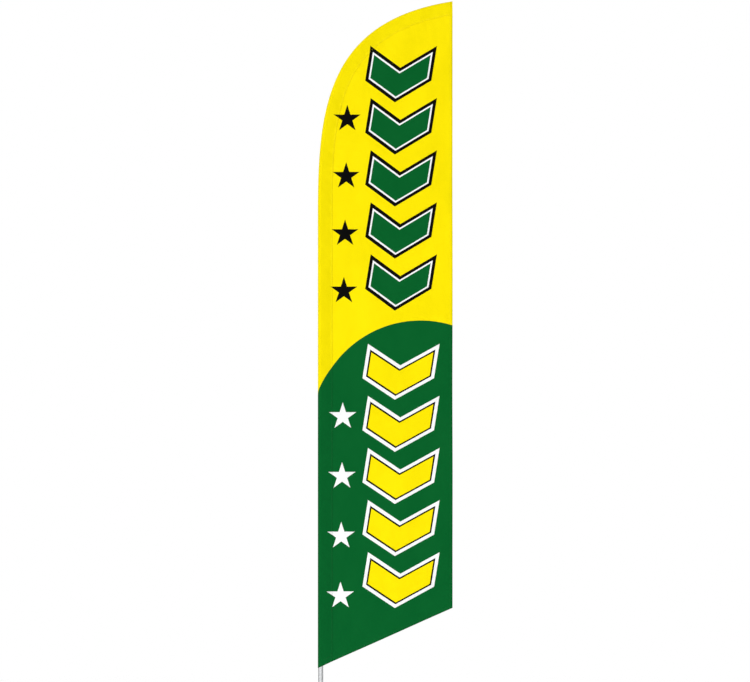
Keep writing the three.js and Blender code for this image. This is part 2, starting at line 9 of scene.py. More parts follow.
import bmesh
import bpy
import numpy as np
from bpy.props import FloatProperty, FloatVectorProperty, IntProperty, PointerProperty
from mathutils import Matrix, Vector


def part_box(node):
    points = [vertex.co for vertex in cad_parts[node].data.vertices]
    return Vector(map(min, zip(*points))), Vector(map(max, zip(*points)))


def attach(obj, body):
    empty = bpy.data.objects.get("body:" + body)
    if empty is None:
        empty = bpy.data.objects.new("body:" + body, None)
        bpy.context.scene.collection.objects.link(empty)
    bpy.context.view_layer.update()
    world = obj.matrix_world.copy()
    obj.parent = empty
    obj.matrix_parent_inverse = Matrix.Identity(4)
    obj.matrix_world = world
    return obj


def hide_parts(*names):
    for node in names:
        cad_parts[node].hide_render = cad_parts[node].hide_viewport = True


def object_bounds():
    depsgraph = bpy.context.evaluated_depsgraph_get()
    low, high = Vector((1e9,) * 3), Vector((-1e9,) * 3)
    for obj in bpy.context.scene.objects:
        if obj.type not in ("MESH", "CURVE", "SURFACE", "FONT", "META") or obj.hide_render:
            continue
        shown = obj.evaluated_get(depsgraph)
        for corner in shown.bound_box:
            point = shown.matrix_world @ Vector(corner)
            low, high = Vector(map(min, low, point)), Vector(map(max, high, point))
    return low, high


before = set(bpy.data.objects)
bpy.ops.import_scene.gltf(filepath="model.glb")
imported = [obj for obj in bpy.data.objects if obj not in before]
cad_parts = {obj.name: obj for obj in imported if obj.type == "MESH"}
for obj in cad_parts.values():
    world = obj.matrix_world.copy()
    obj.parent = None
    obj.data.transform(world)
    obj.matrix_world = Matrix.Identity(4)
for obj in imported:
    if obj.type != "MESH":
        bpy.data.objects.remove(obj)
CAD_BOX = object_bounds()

bl_info = {
    "name": "Feather Flag",
    "version": (1, 0, 0),
    "blender": (4, 5, 0),
    "location": "3D View > Sidebar > Feather Flag",
    "description": "Builds a feather flag's cloth, pole and ground spike around its packed parts",
    "category": "Object",
}

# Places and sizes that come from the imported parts.


def low(node):
    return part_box(node)[0]


def high(node):
    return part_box(node)[1]


GAP = 0.0003  # between faces that touch on the real object
FLAG_BOTTOM = low("pole_sleeve").z
FLAG_TOP = high("sleeve_end_seam").z
FREE_EDGE = high("flag_panel").x
SEAM = low("flag_panel").x
SLEEVE_RADIUS = -low("pole_sleeve").x
SLEEVE_TIP_RADIUS = 0.0085
FLANGE = 0.008  # how much of the sleeve is sewn down
FLANGE_EDGE = SEAM - GAP
PANEL_START = FLANGE_EDGE - FLANGE
LAYER = 0.0008  # from the middle of the flag to the outside of a flange
FLAG_WIDTH = FREE_EDGE + SLEEVE_RADIUS
BOTTOM_SLOPE = 0.315 / FLAG_WIDTH
HEM = FREE_EDGE - low("free_edge_hem").x
HEM_LIFT = 0.00065  # from the panel's middle to the folded hem's
POLE_RADIUS = high("pole_section_1").x
POLE_FOOT = low("pole_section_1").z
PUCKER = 0.052  # from one pucker of the sleeve's seam to the next
OUTWARD = 0.0004  # a step off the cloth, which tells stitches the way out
SHARP = 0.6  # radians between two faces whose edge is broken
SMOOTH = math.radians(38)  # between two faces that are shaded as one

# The flag's curved shoulder, along which the pole's tip bends.
SHOULDER_RISE = 1.069
HOLD_UPRIGHT = 0.505
HOLD_TIP = 0.921
TIP_CLIMB = math.radians(9.1)
BEND_START = FLAG_TOP - SHOULDER_RISE
TIP_DIRECTION = np.array([math.cos(TIP_CLIMB), math.sin(TIP_CLIMB)])
TIP = np.array([FREE_EDGE, SHOULDER_RISE]) + SLEEVE_TIP_RADIUS * TIP_DIRECTION[::-1] * [1, -1]
BEND_HANDLES = np.array(
    [[0, 0], [0, HOLD_UPRIGHT * SHOULDER_RISE], TIP - HOLD_TIP * TIP[0] * TIP_DIRECTION, TIP]
)

# Settings.


def length(name, description, default, **more):
    return FloatProperty(name=name, description=description, default=default, subtype="DISTANCE",
                         unit="LENGTH", precision=5, **more)


def lengths(name, description, *default):
    return FloatVectorProperty(name=name, description=description, default=default, size=len(default),
                               unit="LENGTH", precision=4)


def colour(name, description, *default):
    return FloatVectorProperty(name=name, description=description, default=default, size=3, min=0, max=1,
                               subtype="COLOR")


def power(name, description, default):
    return FloatProperty(name=name, description=description, default=default, min=0, unit="POWER")


def from_bytes(*levels):
    """A colour given as levels from 0 to 255, as the linear values that shaders use."""
    share = np.array(levels) / 255
    linear = np.where(share <= 0.04045, share / 12.92, ((share + 0.055) / 1.055) ** 2.4)
    return [float(x) for x in linear]


class FlagClothSettings(bpy.types.PropertyGroup):
    """How the flag's cloth is made and how it hangs."""

    step: length("Grid step", "Distance between neighbouring points of the cloth", 0.0078, min=0.004)
    thickness: length("Thickness", "Thickness of the cloth as it is seen", 0.00045, min=0.0001)
    billow: length("Billow", "Depth of the long swells towards the free edge", 0.015, max=0.03)
    fold: length("Folds", "Depth of the upright folds in the loose half", 0.0048, max=0.01)
    drag: length("Drag lines", "Depth of the creases drawn out from the two held corners", 0.0028)
    gather: length("Gathers", "Depth of the puckers along the sleeve's seam", 0.0011)
    knit: length("Knit pitch", "Distance between the cloth's wales", 0.0011, min=0.0002)
    stitch_pitch: length("Stitch pitch", "Distance between neighbouring stitches", 0.004, min=0.002)
    stitch_length: length("Stitch length", "Length of a stitch that shows", 0.003, min=0.001)
    thread: length("Thread", "Radius of the sewing thread", 0.0003, min=0.0001)


class FlagPrintSettings(bpy.types.PropertyGroup):
    """Colours and places of what is printed on the flag, from its lower left corner."""

    yellow: colour("Yellow", "The upper field and the lower chevrons", *from_bytes(255, 235, 0))
    green: colour("Green", "The lower field and the upper chevrons", *from_bytes(2, 98, 41))
    black: colour("Black", "The dark lines and the upper stars", *from_bytes(6, 6, 6))
    white: colour("White", "The light lines and the lower stars", *from_bytes(252, 252, 252))
    arc: lengths("Arc", "Middle across and up, half width and half height of the arc between the fields",
                 0.540, 1.245, 0.5707, 0.5817)
    upper_chevrons: lengths("Upper chevrons", "Middle across, height of the lowest, pitch and half width",
                            0.427, 2.018, 0.2738, 0.149)
    lower_chevrons: lengths("Lower chevrons", "Middle across, height of the lowest, pitch and half width",
                            0.427, 0.454, 0.2738, 0.163)
    chevron: lengths("Chevron", "Upright thickness of its arms, and how far its point drops", 0.122, 0.098)
    lines: lengths("Lines", "Widths of the line next to a chevron and of the one outside it", 0.0084, 0.0168)
    slant: FloatProperty(name="Slant", description="Lean of the chevrons, across per up", default=0.16)
    star: length("Star radius", "From a star's middle to its points", 0.074)
    upper_stars: lengths("Upper stars", "Across and up to the lowest, then the steps to the next",
                         0.137, 1.982, 0.006, 0.3015)
    lower_stars: lengths("Lower stars", "Across and up to the lowest, then the steps to the next",
                         0.119, 0.379, 0.004, 0.3142)


class FlagHardwareSettings(bpy.types.PropertyGroup):
    """Finishes and small details of the pole, the spindle and the spike."""

    segments: IntProperty(name="Segments", description="Faces round a turned piece", default=72, min=24)
    edge_round: length("Edge round", "Radius of a broken edge on a turned piece", 0.0006, min=0.0001)
    aluminium: colour("Aluminium", "The lower pole sections", 0.66, 0.67, 0.68)
    fibreglass: colour("Fibreglass", "The upper pole section and the tip rod", 0.030, 0.032, 0.036)
    nylon: colour("Nylon", "Collars and the pole's foot", 0.018, 0.018, 0.019)
    rubber: colour("Rubber", "The dust cap and the seals", 0.012, 0.012, 0.012)
    zinc: colour("Zinc", "The plated steel of the ground spike", 0.43, 0.44, 0.46)
    steel: colour("Steel", "The bright spindle, keeper and fasteners", 0.58, 0.58, 0.57)
    webbing: colour("Webbing", "The strap, the mouth's band and the tip's cup", 0.020, 0.020, 0.021)
    soil: colour("Soil", "What clings to the spike", 0.16, 0.11, 0.07)
    ribs: IntProperty(name="Foot ribs", description="Grip ribs round the pole's foot", default=24, min=0)
    rib_depth: length("Rib depth", "Depth of the grooves between the ribs", 0.0006)
    weld: length("Weld bead", "Radius of the beads that join the spike", 0.0016, min=0.0005)


class FlagStageSettings(bpy.types.PropertyGroup):
    """The camera, the floor and the studio's light."""

    lens: FloatProperty(name="Lens", description="Focal length", default=135, min=20, unit="CAMERA")
    view_width: length("View width", "Width of what the camera sees at the flag", 3.944)
    view: lengths("View", "What the camera looks at: from the pole's axis, and up", 0.2852, 2.5006)
    floor_radius: length("Floor radius", "Radius of the floor before it fades", 7.0)
    backdrop: colour("Backdrop", "What is seen behind the flag", 1.0, 1.0, 1.0)
    floor: colour("Floor", "The floor's colour", 0.86, 0.86, 0.85)
    ambient: FloatProperty(name="Ambient", description="Brightness of the light all round", default=0.55)
    key: power("Key", "Large light in front, on the left", 830)
    fill: power("Fill", "Light in front, on the right", 300)
    back: power("Back", "Light behind", 900)


# Meshes from arrays.


def ease(value, start, end):
    """0 before start and 1 after end, with the cubic 3t^2 - 2t^3 between them."""
    t = np.clip((value - start) / (end - start), 0, 1)
    return t * t * (3 - 2 * t)


def along(points):
    """The way travelled from the first of a row of points to each of them."""
    return np.concatenate([[0], np.cumsum(np.linalg.norm(np.diff(points, axis=0), axis=1))])


def unit(vectors):
    return vectors / np.linalg.norm(vectors, axis=-1, keepdims=True)


def circle(count, start=0.0):
    """That many directions (cosine, sine) round a full turn."""
    turn = np.linspace(0, 2 * math.pi, count, endpoint=False) + start
    return np.stack([np.cos(turn), np.sin(turn)], axis=1)


def grid_faces(rows, columns, wrap_rows=False, wrap_columns=False):
    """Quads between neighbouring points of a grid, whose points are numbered along its rows."""
    r = np.arange(rows if wrap_rows else rows - 1)[:, None]
    c = np.arange(columns if wrap_columns else columns - 1)[None, :]
    r_next, c_next = (r + 1) % rows, (c + 1) % columns
    corners = [r * columns + c, r * columns + c_next, r_next * columns + c_next, r_next * columns + c]
    return np.stack(corners, axis=-1).reshape(-1, 4)


def capped(rows, columns):
    """Quads of a tube whose rings are the rows of a grid, with a flat face at each end."""
    ends = [list(range(columns)), list(range((rows - 1) * columns, rows * columns))]
    return grid_faces(rows, columns, wrap_columns=True).tolist() + ends


def in_bmesh(mesh, change):
    """Lets a function change the mesh, and turns its faces outwards."""
    work = bmesh.new()
    work.from_mesh(mesh)
    change(work)
    bmesh.ops.recalc_face_normals(work, faces=work.faces)
    work.to_mesh(mesh)
    work.free()


def break_edges(work, width):
    """Rounds the sharp edges of a closed mesh, and marks the new faces as worn."""
    bmesh.ops.recalc_face_normals(work, faces=work.faces)
    worn = work.faces.layers.float.new("edge")
    sharp = [e for e in work.edges if len(e.link_faces) == 2 and e.calc_face_angle() > SHARP]
    made = bmesh.ops.bevel(work, geom=sharp, offset=width, segments=2, profile=0.6, affect="EDGES",
                           clamp_overlap=True)
    for face in made["faces"]:
        face[worn] = 1.0


def piece(name, slot, points, faces, edges=None, *, body="pole_and_flag", finished=None, replaces=(),
          cut=None, closed=True, bevel=0.0):
    """Makes a mesh object at the origin from arrays. edges is 1 where a point is on a corner, for wear,
    and cut is each point's place on the flat cloth. A closed mesh has its faces turned outwards."""
    mesh = bpy.data.meshes.new(name)
    mesh.from_pydata(np.asarray(points, float).reshape(-1, 3).tolist(), [], [list(f) for f in faces])
    if cut is not None:
        corner_points = np.empty(len(mesh.loops), np.int32)
        mesh.loops.foreach_get("vertex_index", corner_points)
        layer = mesh.uv_layers.new(name="cut")
        layer.data.foreach_set("uv", np.asarray(cut, np.float32).reshape(-1, 2)[corner_points].ravel())
    if edges is not None:
        worn = mesh.attributes.new("edge", "FLOAT", "POINT")
        worn.data.foreach_set("value", np.asarray(edges, np.float32).ravel())
    if closed or bevel:
        in_bmesh(mesh, lambda work: bevel and break_edges(work, bevel))
    mesh.shade_smooth()
    mesh.set_sharp_from_angle(angle=SMOOTH)
    made = bpy.data.objects.new(name, mesh)
    bpy.context.scene.collection.objects.link(made)
    mesh.materials.append(finish(finished or slot))
    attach(made, body)
    if replaces:
        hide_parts(*replaces)
    return made


def thicken(made, thickness):
    """Gives a sheet its thickness, half on each side of its surface."""
    solid = made.modifiers.new("Thickness", "SOLIDIFY")
    solid.thickness, solid.offset, solid.use_even_offset = thickness, 0.0, False
    return made


def sheet(name, slot, points, cut, replaces, thickness):
    """A piece of cloth from a grid of points and their places on the flat cloth."""
    faces = grid_faces(*points.shape[:2])
    made = piece(name, slot, points, faces, replaces=replaces, cut=cut, closed=False)
    return thicken(made, thickness)


# Turned, extruded and swept shapes.


def eased(corners, radius, wear=0.0012, steps=4, closed=True):
    """Rounds the corners of a profile. Each corner becomes the parabola between the points that lie
    radius before and after it, (1-t)^2 a + 2t(1-t) corner + t^2 b, with one more point on either side
    where wear has faded. Returns the points, and 1 at the corners and 0 away from them."""
    corners = np.asarray(corners, float)
    sides = [np.roll(corners, shift, axis=0) - corners for shift in (1, -1)]
    rooms = [np.linalg.norm(side, axis=1, keepdims=True) for side in sides]

    def set_back(way, share):
        return [corners + side / room * np.minimum(way, share * room) for side, room in zip(sides, rooms)]

    (a, b), (before, after) = set_back(radius, 0.45), set_back(radius + wear, 0.49)
    t = np.linspace(0, 1, steps + 1)[None, :, None]
    arc = (1 - t) ** 2 * a[:, None] + 2 * t * (1 - t) * corners[:, None] + t**2 * b[:, None]
    points = np.concatenate([before[:, None], arc, after[:, None]], axis=1)
    straight = -np.sum(sides[0] * sides[1], axis=1) / (rooms[0] * rooms[1])[:, 0]
    edges = np.concatenate([[0.0], np.ones(steps + 1), [0.0]]) * (straight < 0.97)[:, None]
    if not closed:  # the two ends of an open profile stay where they are
        points[0], points[-1] = corners[0], corners[-1]
        edges[0], edges[-1] = 0, 0
    return points.reshape(-1, 2), edges.ravel()


def hexagon(turn):
    """How much further a hexagon reaches than the circle inside it: the secant of the angle from the
    middle of the nearest flat."""
    return 1 / np.cos((turn + math.pi / 6) % (math.pi / 3) - math.pi / 6)


def turned(profile, radius=None, segments=None, hexed=None, groove=None, closed=True):
    """A profile of (radius, height) turned round Z: the point at turn t is (r cos t, r sin t, height).
    hexed gives how far each corner leans from round to hexagonal, and leaves the corners sharp.
    groove(r, turn, height) is taken off r. An open profile gets a flat face at each end."""
    hardware = bpy.context.scene.flag_hardware
    segments = segments or hardware.segments
    if hexed is None:
        outline, edges = eased(profile, hardware.edge_round if radius is None else radius, closed=closed)
        hexed = np.zeros(len(outline))
    else:
        outline, edges = np.asarray(profile, float), np.zeros(len(profile))
    turn = np.linspace(0, 2 * math.pi, segments, endpoint=False)[None, :]
    r = outline[:, :1] * (1 + np.asarray(hexed)[:, None] * (hexagon(turn) - 1))
    z = np.repeat(outline[:, 1:], segments, axis=1)
    if groove is not None:
        r = r - groove(r, turn, z)
    points = np.stack([r * np.cos(turn), r * np.sin(turn), z], axis=-1).reshape(-1, 3)
    size = len(outline), segments
    faces = grid_faces(*size, wrap_rows=True, wrap_columns=True) if closed else capped(*size)
    return points, faces, np.repeat(edges, segments)


def laid(shape, x, z):
    """Lays a shape turned round Z on its side, round the line through x and z that runs along +Y."""
    points, faces, edges = shape
    return np.stack([points[:, 0] + x, points[:, 2], z - points[:, 1]], axis=1), faces, edges


def extruded(outline, start, end, axis):
    """An outline carried straight from start to end along axis 0, 1 or 2. Its own two coordinates are
    the other two axes, in order. The ends are flat faces."""
    outline = np.asarray(outline, float)
    ends = [np.insert(outline, axis, at, axis=1) for at in (start, end)]
    return np.concatenate(ends), capped(2, len(outline))


def swept(path, section, upward):
    """A closed section of (side, up), which changes along a path of points, carried along it. At each
    point, side is the path's direction crossed with upward. The ends are flat faces."""
    direction = unit(np.gradient(path, axis=0))
    side = unit(np.cross(direction, upward))
    up = np.cross(side, direction)
    points = path[:, None] + section[..., :1] * side[:, None] + section[..., 1:] * up[:, None]
    return points.reshape(-1, 3), capped(*section.shape[:2])


# The pole's line and the sleeve round it.


def bend_at(t):
    """The cubic Bezier curve of the shoulder, and its direction, at t from 0 to 1."""
    t = np.asarray(t, float)[..., None]
    p0, p1, p2, p3 = BEND_HANDLES
    point = (1 - t) ** 3 * p0 + 3 * t * (1 - t) ** 2 * p1 + 3 * t**2 * (1 - t) * p2 + t**3 * p3
    slope = 3 * (1 - t) ** 2 * (p1 - p0) + 6 * t * (1 - t) * (p2 - p1) + 3 * t**2 * (p3 - p2)
    return point, unit(slope)


BEND_T = np.linspace(0, 1, 801)
BEND_WAY = along(bend_at(BEND_T)[0])
BEND_LENGTH = float(BEND_WAY[-1])
TIP_WAY = BEND_START + BEND_LENGTH


def centre_line(s):
    """The pole's middle (x, z) and its direction at s, the height that it has before the pole is bent:
    upright below the bend, along the curve by its length, and straight on past its end."""
    s = np.asarray(s, float)
    on_bend = np.clip(s - BEND_START, 0, BEND_LENGTH)
    point, direction = bend_at(np.interp(on_bend, BEND_WAY, BEND_T))
    point = point + (s - BEND_START - on_bend)[..., None] * direction
    return point[..., 0], point[..., 1] + BEND_START, direction


def beside_pole(s, off):
    """The point (x, z) that stands off the pole's middle by that much, square to it, to the flag."""
    x, z, direction = centre_line(s)
    return x + off * direction[..., 1], z - off * direction[..., 0]


def bottom_edge(x):
    return FLAG_BOTTOM + (x + SLEEVE_RADIUS) * BOTTOM_SLOPE


def nearest_on_pole(x, z):
    """For places beside the pole, the nearest s on its middle line and how far off it they stand. It is
    the nearest of many points of the line, moved along the line's direction there to be square to it."""
    s = np.linspace(FLAG_BOTTOM, TIP_WAY + 0.05, 600)
    line_x, line_z, direction = centre_line(s)
    flat_x, flat_z = np.ravel(x), np.ravel(z)
    best = np.concatenate([
        ((flat_x[part, None] - line_x) ** 2 + (flat_z[part, None] - line_z) ** 2).argmin(axis=1)
        for part in np.array_split(np.arange(len(flat_x)), 1 + len(flat_x) // 8000)
    ])
    across, up = flat_x - line_x[best], flat_z - line_z[best]
    forward = across * direction[best, 0] + up * direction[best, 1]
    off = across * direction[best, 1] - up * direction[best, 0]
    return (s[best] + forward).reshape(np.shape(x)), off.reshape(np.shape(x))


def uneven(s, seed):
    """A slow wander between -1 and 1 along s: three sines whose lengths don't share a common step."""
    waves = np.sin(s * 7.3 + seed) + np.sin(s * 17.9 + 2.1 * seed) + np.sin(s * 41.7 + 3.7 * seed)
    return waves / 3


def seam_wave(s, off):
    """Puckers of the sewn seam, which the sleeve and the panel share: a sine every 52 mm whose length
    and depth wander, strongest at the seam, gone at the pole and dying away over the panel. They are
    three times as deep where the shoulder bends the seam."""
    strength = 0.45 + 1.05 * ease(s, BEND_START - 0.25, BEND_START + 0.35)
    phase = 2 * math.pi * s / PUCKER + 2.6 * uneven(s, 0.7)
    wave = np.sin(phase) * (0.6 + 0.4 * uneven(s * 1.7, 2.9)) * strength
    reach = ease(off, 0.018, SEAM - FLANGE) * np.exp(-np.maximum(off - SEAM, 0) / 0.06)
    return bpy.context.scene.flag_cloth.gather * wave * reach


def panel_depth(x, z):
    """The flag's depth y over its flat place (x, z). Long swells and upright folds grow from the seam
    to the free edge, fine creases fan out from the foot of the seam and from the tip, and puckers die
    away from the seam."""
    cloth = bpy.context.scene.flag_cloth
    s, off = nearest_on_pole(x, z)
    away = np.maximum(off - SEAM, 0)
    loose = np.clip(away / 0.60, 0, 1.1)
    turn = 2 * math.pi
    swell = np.sin(turn * (z / 1.32 - 0.62 * x) + 0.9 * np.sin(turn * z / 2.7 + 0.4))
    swell = swell + 0.35 * np.sin(turn * (z / 0.61 + 0.9 * x) + 1.1)
    fold = np.sin(turn * (x / 0.27 + 0.16 * z) + 1.4 * np.sin(turn * z / 1.15 + 0.8))
    fold = fold * (0.55 + 0.45 * np.sin(turn * z / 1.9 + 1.9))
    depth = cloth.billow * loose**1.25 * swell + cloth.fold * ease(loose, 0.05, 0.75) * fold
    foot, tip = (0.01, FLAG_BOTTOM - 0.05, 19, 0.62), (0.70, 4.30, 15, 0.55)
    for corner_x, corner_z, spokes, reach in (foot, tip):
        across, up = x - corner_x, z - corner_z
        distance = np.hypot(across, up)
        wander = 0.5 * np.sin(distance * 9 + corner_x * 20)
        fan = np.sin(spokes * np.arctan2(up, across) + wander) * np.exp(-distance / reach)
        depth = depth + cloth.drag * fan * ease(distance, 0.05, 0.35) * ease(away, 0.0, 0.10)
    return depth + seam_wave(s, off)


def sleeve_section(columns):
    """The teardrop across the sleeve, from the seam in front, round the pole, to the seam behind: a flat
    flange that is sewn down, a straight side that touches a circle, the circle, and the same again.
    columns are shares of the way round. Returns off and depth, and the place across the flat print."""
    root = PANEL_START
    reach = math.hypot(root, LAYER)
    touch = math.atan2(LAYER, root) + math.acos(SLEEVE_RADIUS / reach)
    side = math.sqrt(reach**2 - SLEEVE_RADIUS**2)
    whole = 2 * (FLANGE + side + SLEEVE_RADIUS * (math.pi - touch))
    way = np.asarray(columns, float) * whole
    half = np.minimum(way, whole - way)
    facing = np.where(way < whole / 2, -1.0, 1.0)
    on_side = np.clip((half - FLANGE) / side, 0, 1)
    angle = touch + np.maximum(half - FLANGE - side, 0) / SLEEVE_RADIUS
    side_x = root + (SLEEVE_RADIUS * math.cos(touch) - root) * on_side
    side_y = LAYER + (SLEEVE_RADIUS * math.sin(touch) - LAYER) * on_side
    side_y = side_y + 0.0006 * np.sin(math.pi * on_side) ** 2
    on_flange, on_flat = half < FLANGE, on_side < 1
    off = np.where(on_flange, FLANGE_EDGE - half, np.where(on_flat, side_x, SLEEVE_RADIUS * np.cos(angle)))
    depth = np.where(on_flange, LAYER, np.where(on_flat, side_y, SLEEVE_RADIUS * np.sin(angle))) * facing
    return off, depth, FLANGE_EDGE - half * (FLANGE_EDGE + SLEEVE_RADIUS) / (whole / 2)


def sleeve(rows, columns, lift=0.0, top=None):
    """The sleeve's surface: its teardrop carried up the pole's line, narrowing to the tip, where its
    last 10 mm are pressed flat. rows are shares of the way from the slanting mouth to the upright end, or
    to top metres above the mouth. Returns points and their flat places."""
    off, depth, print_off = (part[None, :] for part in sleeve_section(columns))
    start = bottom_edge(off)
    narrow_end = np.where(off < 0, off * SLEEVE_TIP_RADIUS / SLEEVE_RADIUS, off)
    stop = TIP_WAY + (FREE_EDGE - TIP[0] - narrow_end * TIP_DIRECTION[1]) / TIP_DIRECTION[0]
    if top is not None:
        stop = start + top
    s = start + (stop - start) * np.asarray(rows, float)[:, None]

    less = np.clip((s - BEND_START) / BEND_LENGTH, 0, 1) * (SLEEVE_RADIUS - SLEEVE_TIP_RADIUS)
    shrink = 1 - less / np.hypot(off, depth)
    flatter = np.sign(depth) * np.minimum(less * (1 - off / SEAM), np.abs(depth) - LAYER)
    x_off = np.where(off < 0, off * shrink, off + 0 * s)
    y = np.where(off < 0, depth * shrink, depth - flatter)

    slack = ease(off, -0.012, 0.030) * (1 - ease(off, SEAM - FLANGE - 0.004, SEAM - 0.004))
    side_seed = np.where(depth < 0, 0.0, 2.4)
    crease = np.sin(2 * math.pi * (s / 0.083 + 9 * off) + 2.2 * uneven(s, 1.3) + side_seed)
    out = 0.5 * bpy.context.scene.flag_cloth.gather * crease * slack
    out = out + lift * np.where(off < 0, np.abs(depth) / SLEEVE_RADIUS, 1)
    y = y + np.sign(depth) * out + seam_wave(s, off)
    x_off = x_off + np.where(off < 0, off / SLEEVE_RADIUS, 0) * lift

    if top is None:
        pressed = ease(s - stop, -0.0125, -0.003)
        y = y * (1 - pressed) + (np.sign(depth) * (LAYER + lift) + seam_wave(s, off)) * pressed
    x, z = beside_pole(s, x_off)
    print_x, print_z = beside_pole(s, print_off + 0 * s)
    return np.stack([x, y, z], axis=-1), on_print(print_x, print_z)


def on_print(x, z):
    return np.stack([x + SLEEVE_RADIUS, z - FLAG_BOTTOM], axis=-1)


# Shader nodes.


class Signal:
    """A node's output, which takes part in sums like a number."""

    def __init__(self, wiring, socket):
        self.wiring, self.socket = wiring, socket

    def __add__(self, other):
        return self.wiring.math("ADD", self, other)

    def __sub__(self, other):
        return self.wiring.math("SUBTRACT", self, other)

    def __rsub__(self, other):
        return self.wiring.math("SUBTRACT", other, self)

    def __mul__(self, other):
        return self.wiring.math("MULTIPLY", self, other)

    def __truediv__(self, other):
        return self.wiring.math("DIVIDE", self, other)

    def __abs__(self):
        return self.wiring.math("ABSOLUTE", self)

    def clipped(self, most):
        return self.wiring.math("MINIMUM", self.wiring.math("MAXIMUM", self, 0.0), most)


class Wiring:
    """Adds nodes to a tree. A value is a number, a colour, a vector or a signal."""

    def __init__(self, tree):
        self.tree = tree
        self.tree.nodes.clear()

    def plug(self, socket, value):
        if isinstance(value, Signal):
            self.tree.links.new(value.socket, socket)
        else:
            socket.default_value = (*value, 1) if socket.type == "RGBA" else value

    def node(self, kind, inputs, **settings):
        made = self.tree.nodes.new(kind)
        for key, value in settings.items():
            setattr(made, key, value)
        for key, value in inputs.items():
            self.plug(made.inputs[key], value)
        return made

    def add(self, kind, inputs, output=0, **settings):
        return Signal(self, self.node(kind, inputs, **settings).outputs[output])

    def math(self, operation, *values):
        return self.add("ShaderNodeMath", dict(enumerate(values)), operation=operation)

    def step(self, value, start, end):
        """0 before start and 1 after end, smoothly between."""
        inputs = {"Value": value, "From Min": start, "From Max": end}
        return self.add("ShaderNodeMapRange", inputs, interpolation_type="SMOOTHSTEP")

    def between(self, value, lowest, highest):
        """Maps 0 to 1 on to lowest to highest."""
        return self.add("ShaderNodeMapRange", {"Value": value, "To Min": lowest, "To Max": highest})

    def mix(self, factor, a, b):
        return self.add("ShaderNodeMix", {"Factor": factor, 6: a, 7: b}, output=2, data_type="RGBA")

    def blend(self, factor, a, b):
        return self.add("ShaderNodeMixShader", {0: factor, 1: a, 2: b})

    def noise(self, vector, scale, detail, roughness):
        inputs = {"Vector": vector, "Scale": scale, "Detail": detail, "Roughness": roughness}
        return self.add("ShaderNodeTexNoise", inputs)

    def place(self):
        return self.add("ShaderNodeTexCoord", {}, output="Object")

    def apart(self, vector):
        return [Signal(self, part) for part in self.node("ShaderNodeSeparateXYZ", {0: vector}).outputs]

    def bump(self, height, distance, strength, under=None):
        inputs = {"Height": height, "Distance": distance, "Strength": strength}
        return self.add("ShaderNodeBump", inputs | ({"Normal": under} if under else {}))

    def principled(self, **sockets):
        inputs = {key.replace("_", " "): value for key, value in sockets.items()}
        return self.add("ShaderNodeBsdfPrincipled", inputs)

    def surface(self, shader, kind="Material"):
        self.node(f"ShaderNodeOutput{kind}", {"Surface": shader})


def shader_group(name, inputs, outputs):
    """Makes a shader node group of a function that is given a Wiring and the group's inputs, and returns
    its outputs. It is built once. What takes the function's place adds the group to a tree with the
    values that it is given. A socket is a number unless its kind stands after a colon."""

    def build_group(build):
        group = bpy.data.node_groups.new(name, "ShaderNodeTree")
        for names, way in ((inputs, "INPUT"), (outputs, "OUTPUT")):
            for key, _, kind in (text.partition(": ") for text in names.split(", ")):
                socket_type = "NodeSocket" + (kind or "Float")
                group.interface.new_socket(name=key, in_out=way, socket_type=socket_type)
        w = Wiring(group)
        given, result = w.node("NodeGroupInput", {}), w.node("NodeGroupOutput", {})
        found = build(w, *(Signal(w, socket) for socket in given.outputs if socket.name))
        for socket, value in zip(result.inputs, found if isinstance(found, tuple) else (found,)):
            w.plug(socket, value)
        return group

    def wrap(build):
        def place_group(w, *values):
            group = bpy.data.node_groups.get(name) or build_group(build)
            node = w.node("ShaderNodeGroup", dict(enumerate(values)), node_tree=group)
            found = [Signal(w, socket) for socket in node.outputs]
            return found[0] if len(found) == 1 else found

        return place_group

    return wrap


@shader_group(
    "Two fields",
    "Across, Up, Arc Across, Arc Up, Arc Half Width, Arc Half Height, Yellow: Color, Green: Color",
    "Color: Color",
)
def two_fields(w, across, up, arc_across, arc_up, half_width, half_height, yellow, green):
    """The print's two fields. Yellow is what lies outside an ellipse and above its middle."""
    across, up = (across - arc_across) / half_width, (up - arc_up) / half_height
    outside = w.step(across * across + up * up, 0.9985, 1.0015)
    return w.mix(outside * w.math("GREATER_THAN", up, 0.0), green, yellow)


@shader_group(
    "Column of chevrons",
    "Across, Up, Middle, Lowest, Pitch, Half Width, Arm, Depth, Slant",
    "Distance",
)
def chevron_column(w, across, up, middle, lowest, pitch, half_width, arm, depth, slant):
    """Five nested chevrons with their points down. The distance is below 0 inside one: each arm is a
    band round the line up = slope * |across|, and the column repeats at its pitch."""
    slope = depth / half_width

    def arms(off):
        return off * slope - depth * 0.5

    straight = across - middle
    number = w.math("ROUND", (up - lowest - arms(abs(straight))) / pitch).clipped(4.0)
    up = up - lowest - number * pitch
    off = abs(straight - up * slant)
    band = (abs(up - arms(off)) - arm * 0.5) / w.math("SQRT", slope * slope + 1.0)
    return w.math("MAXIMUM", band, off - half_width)


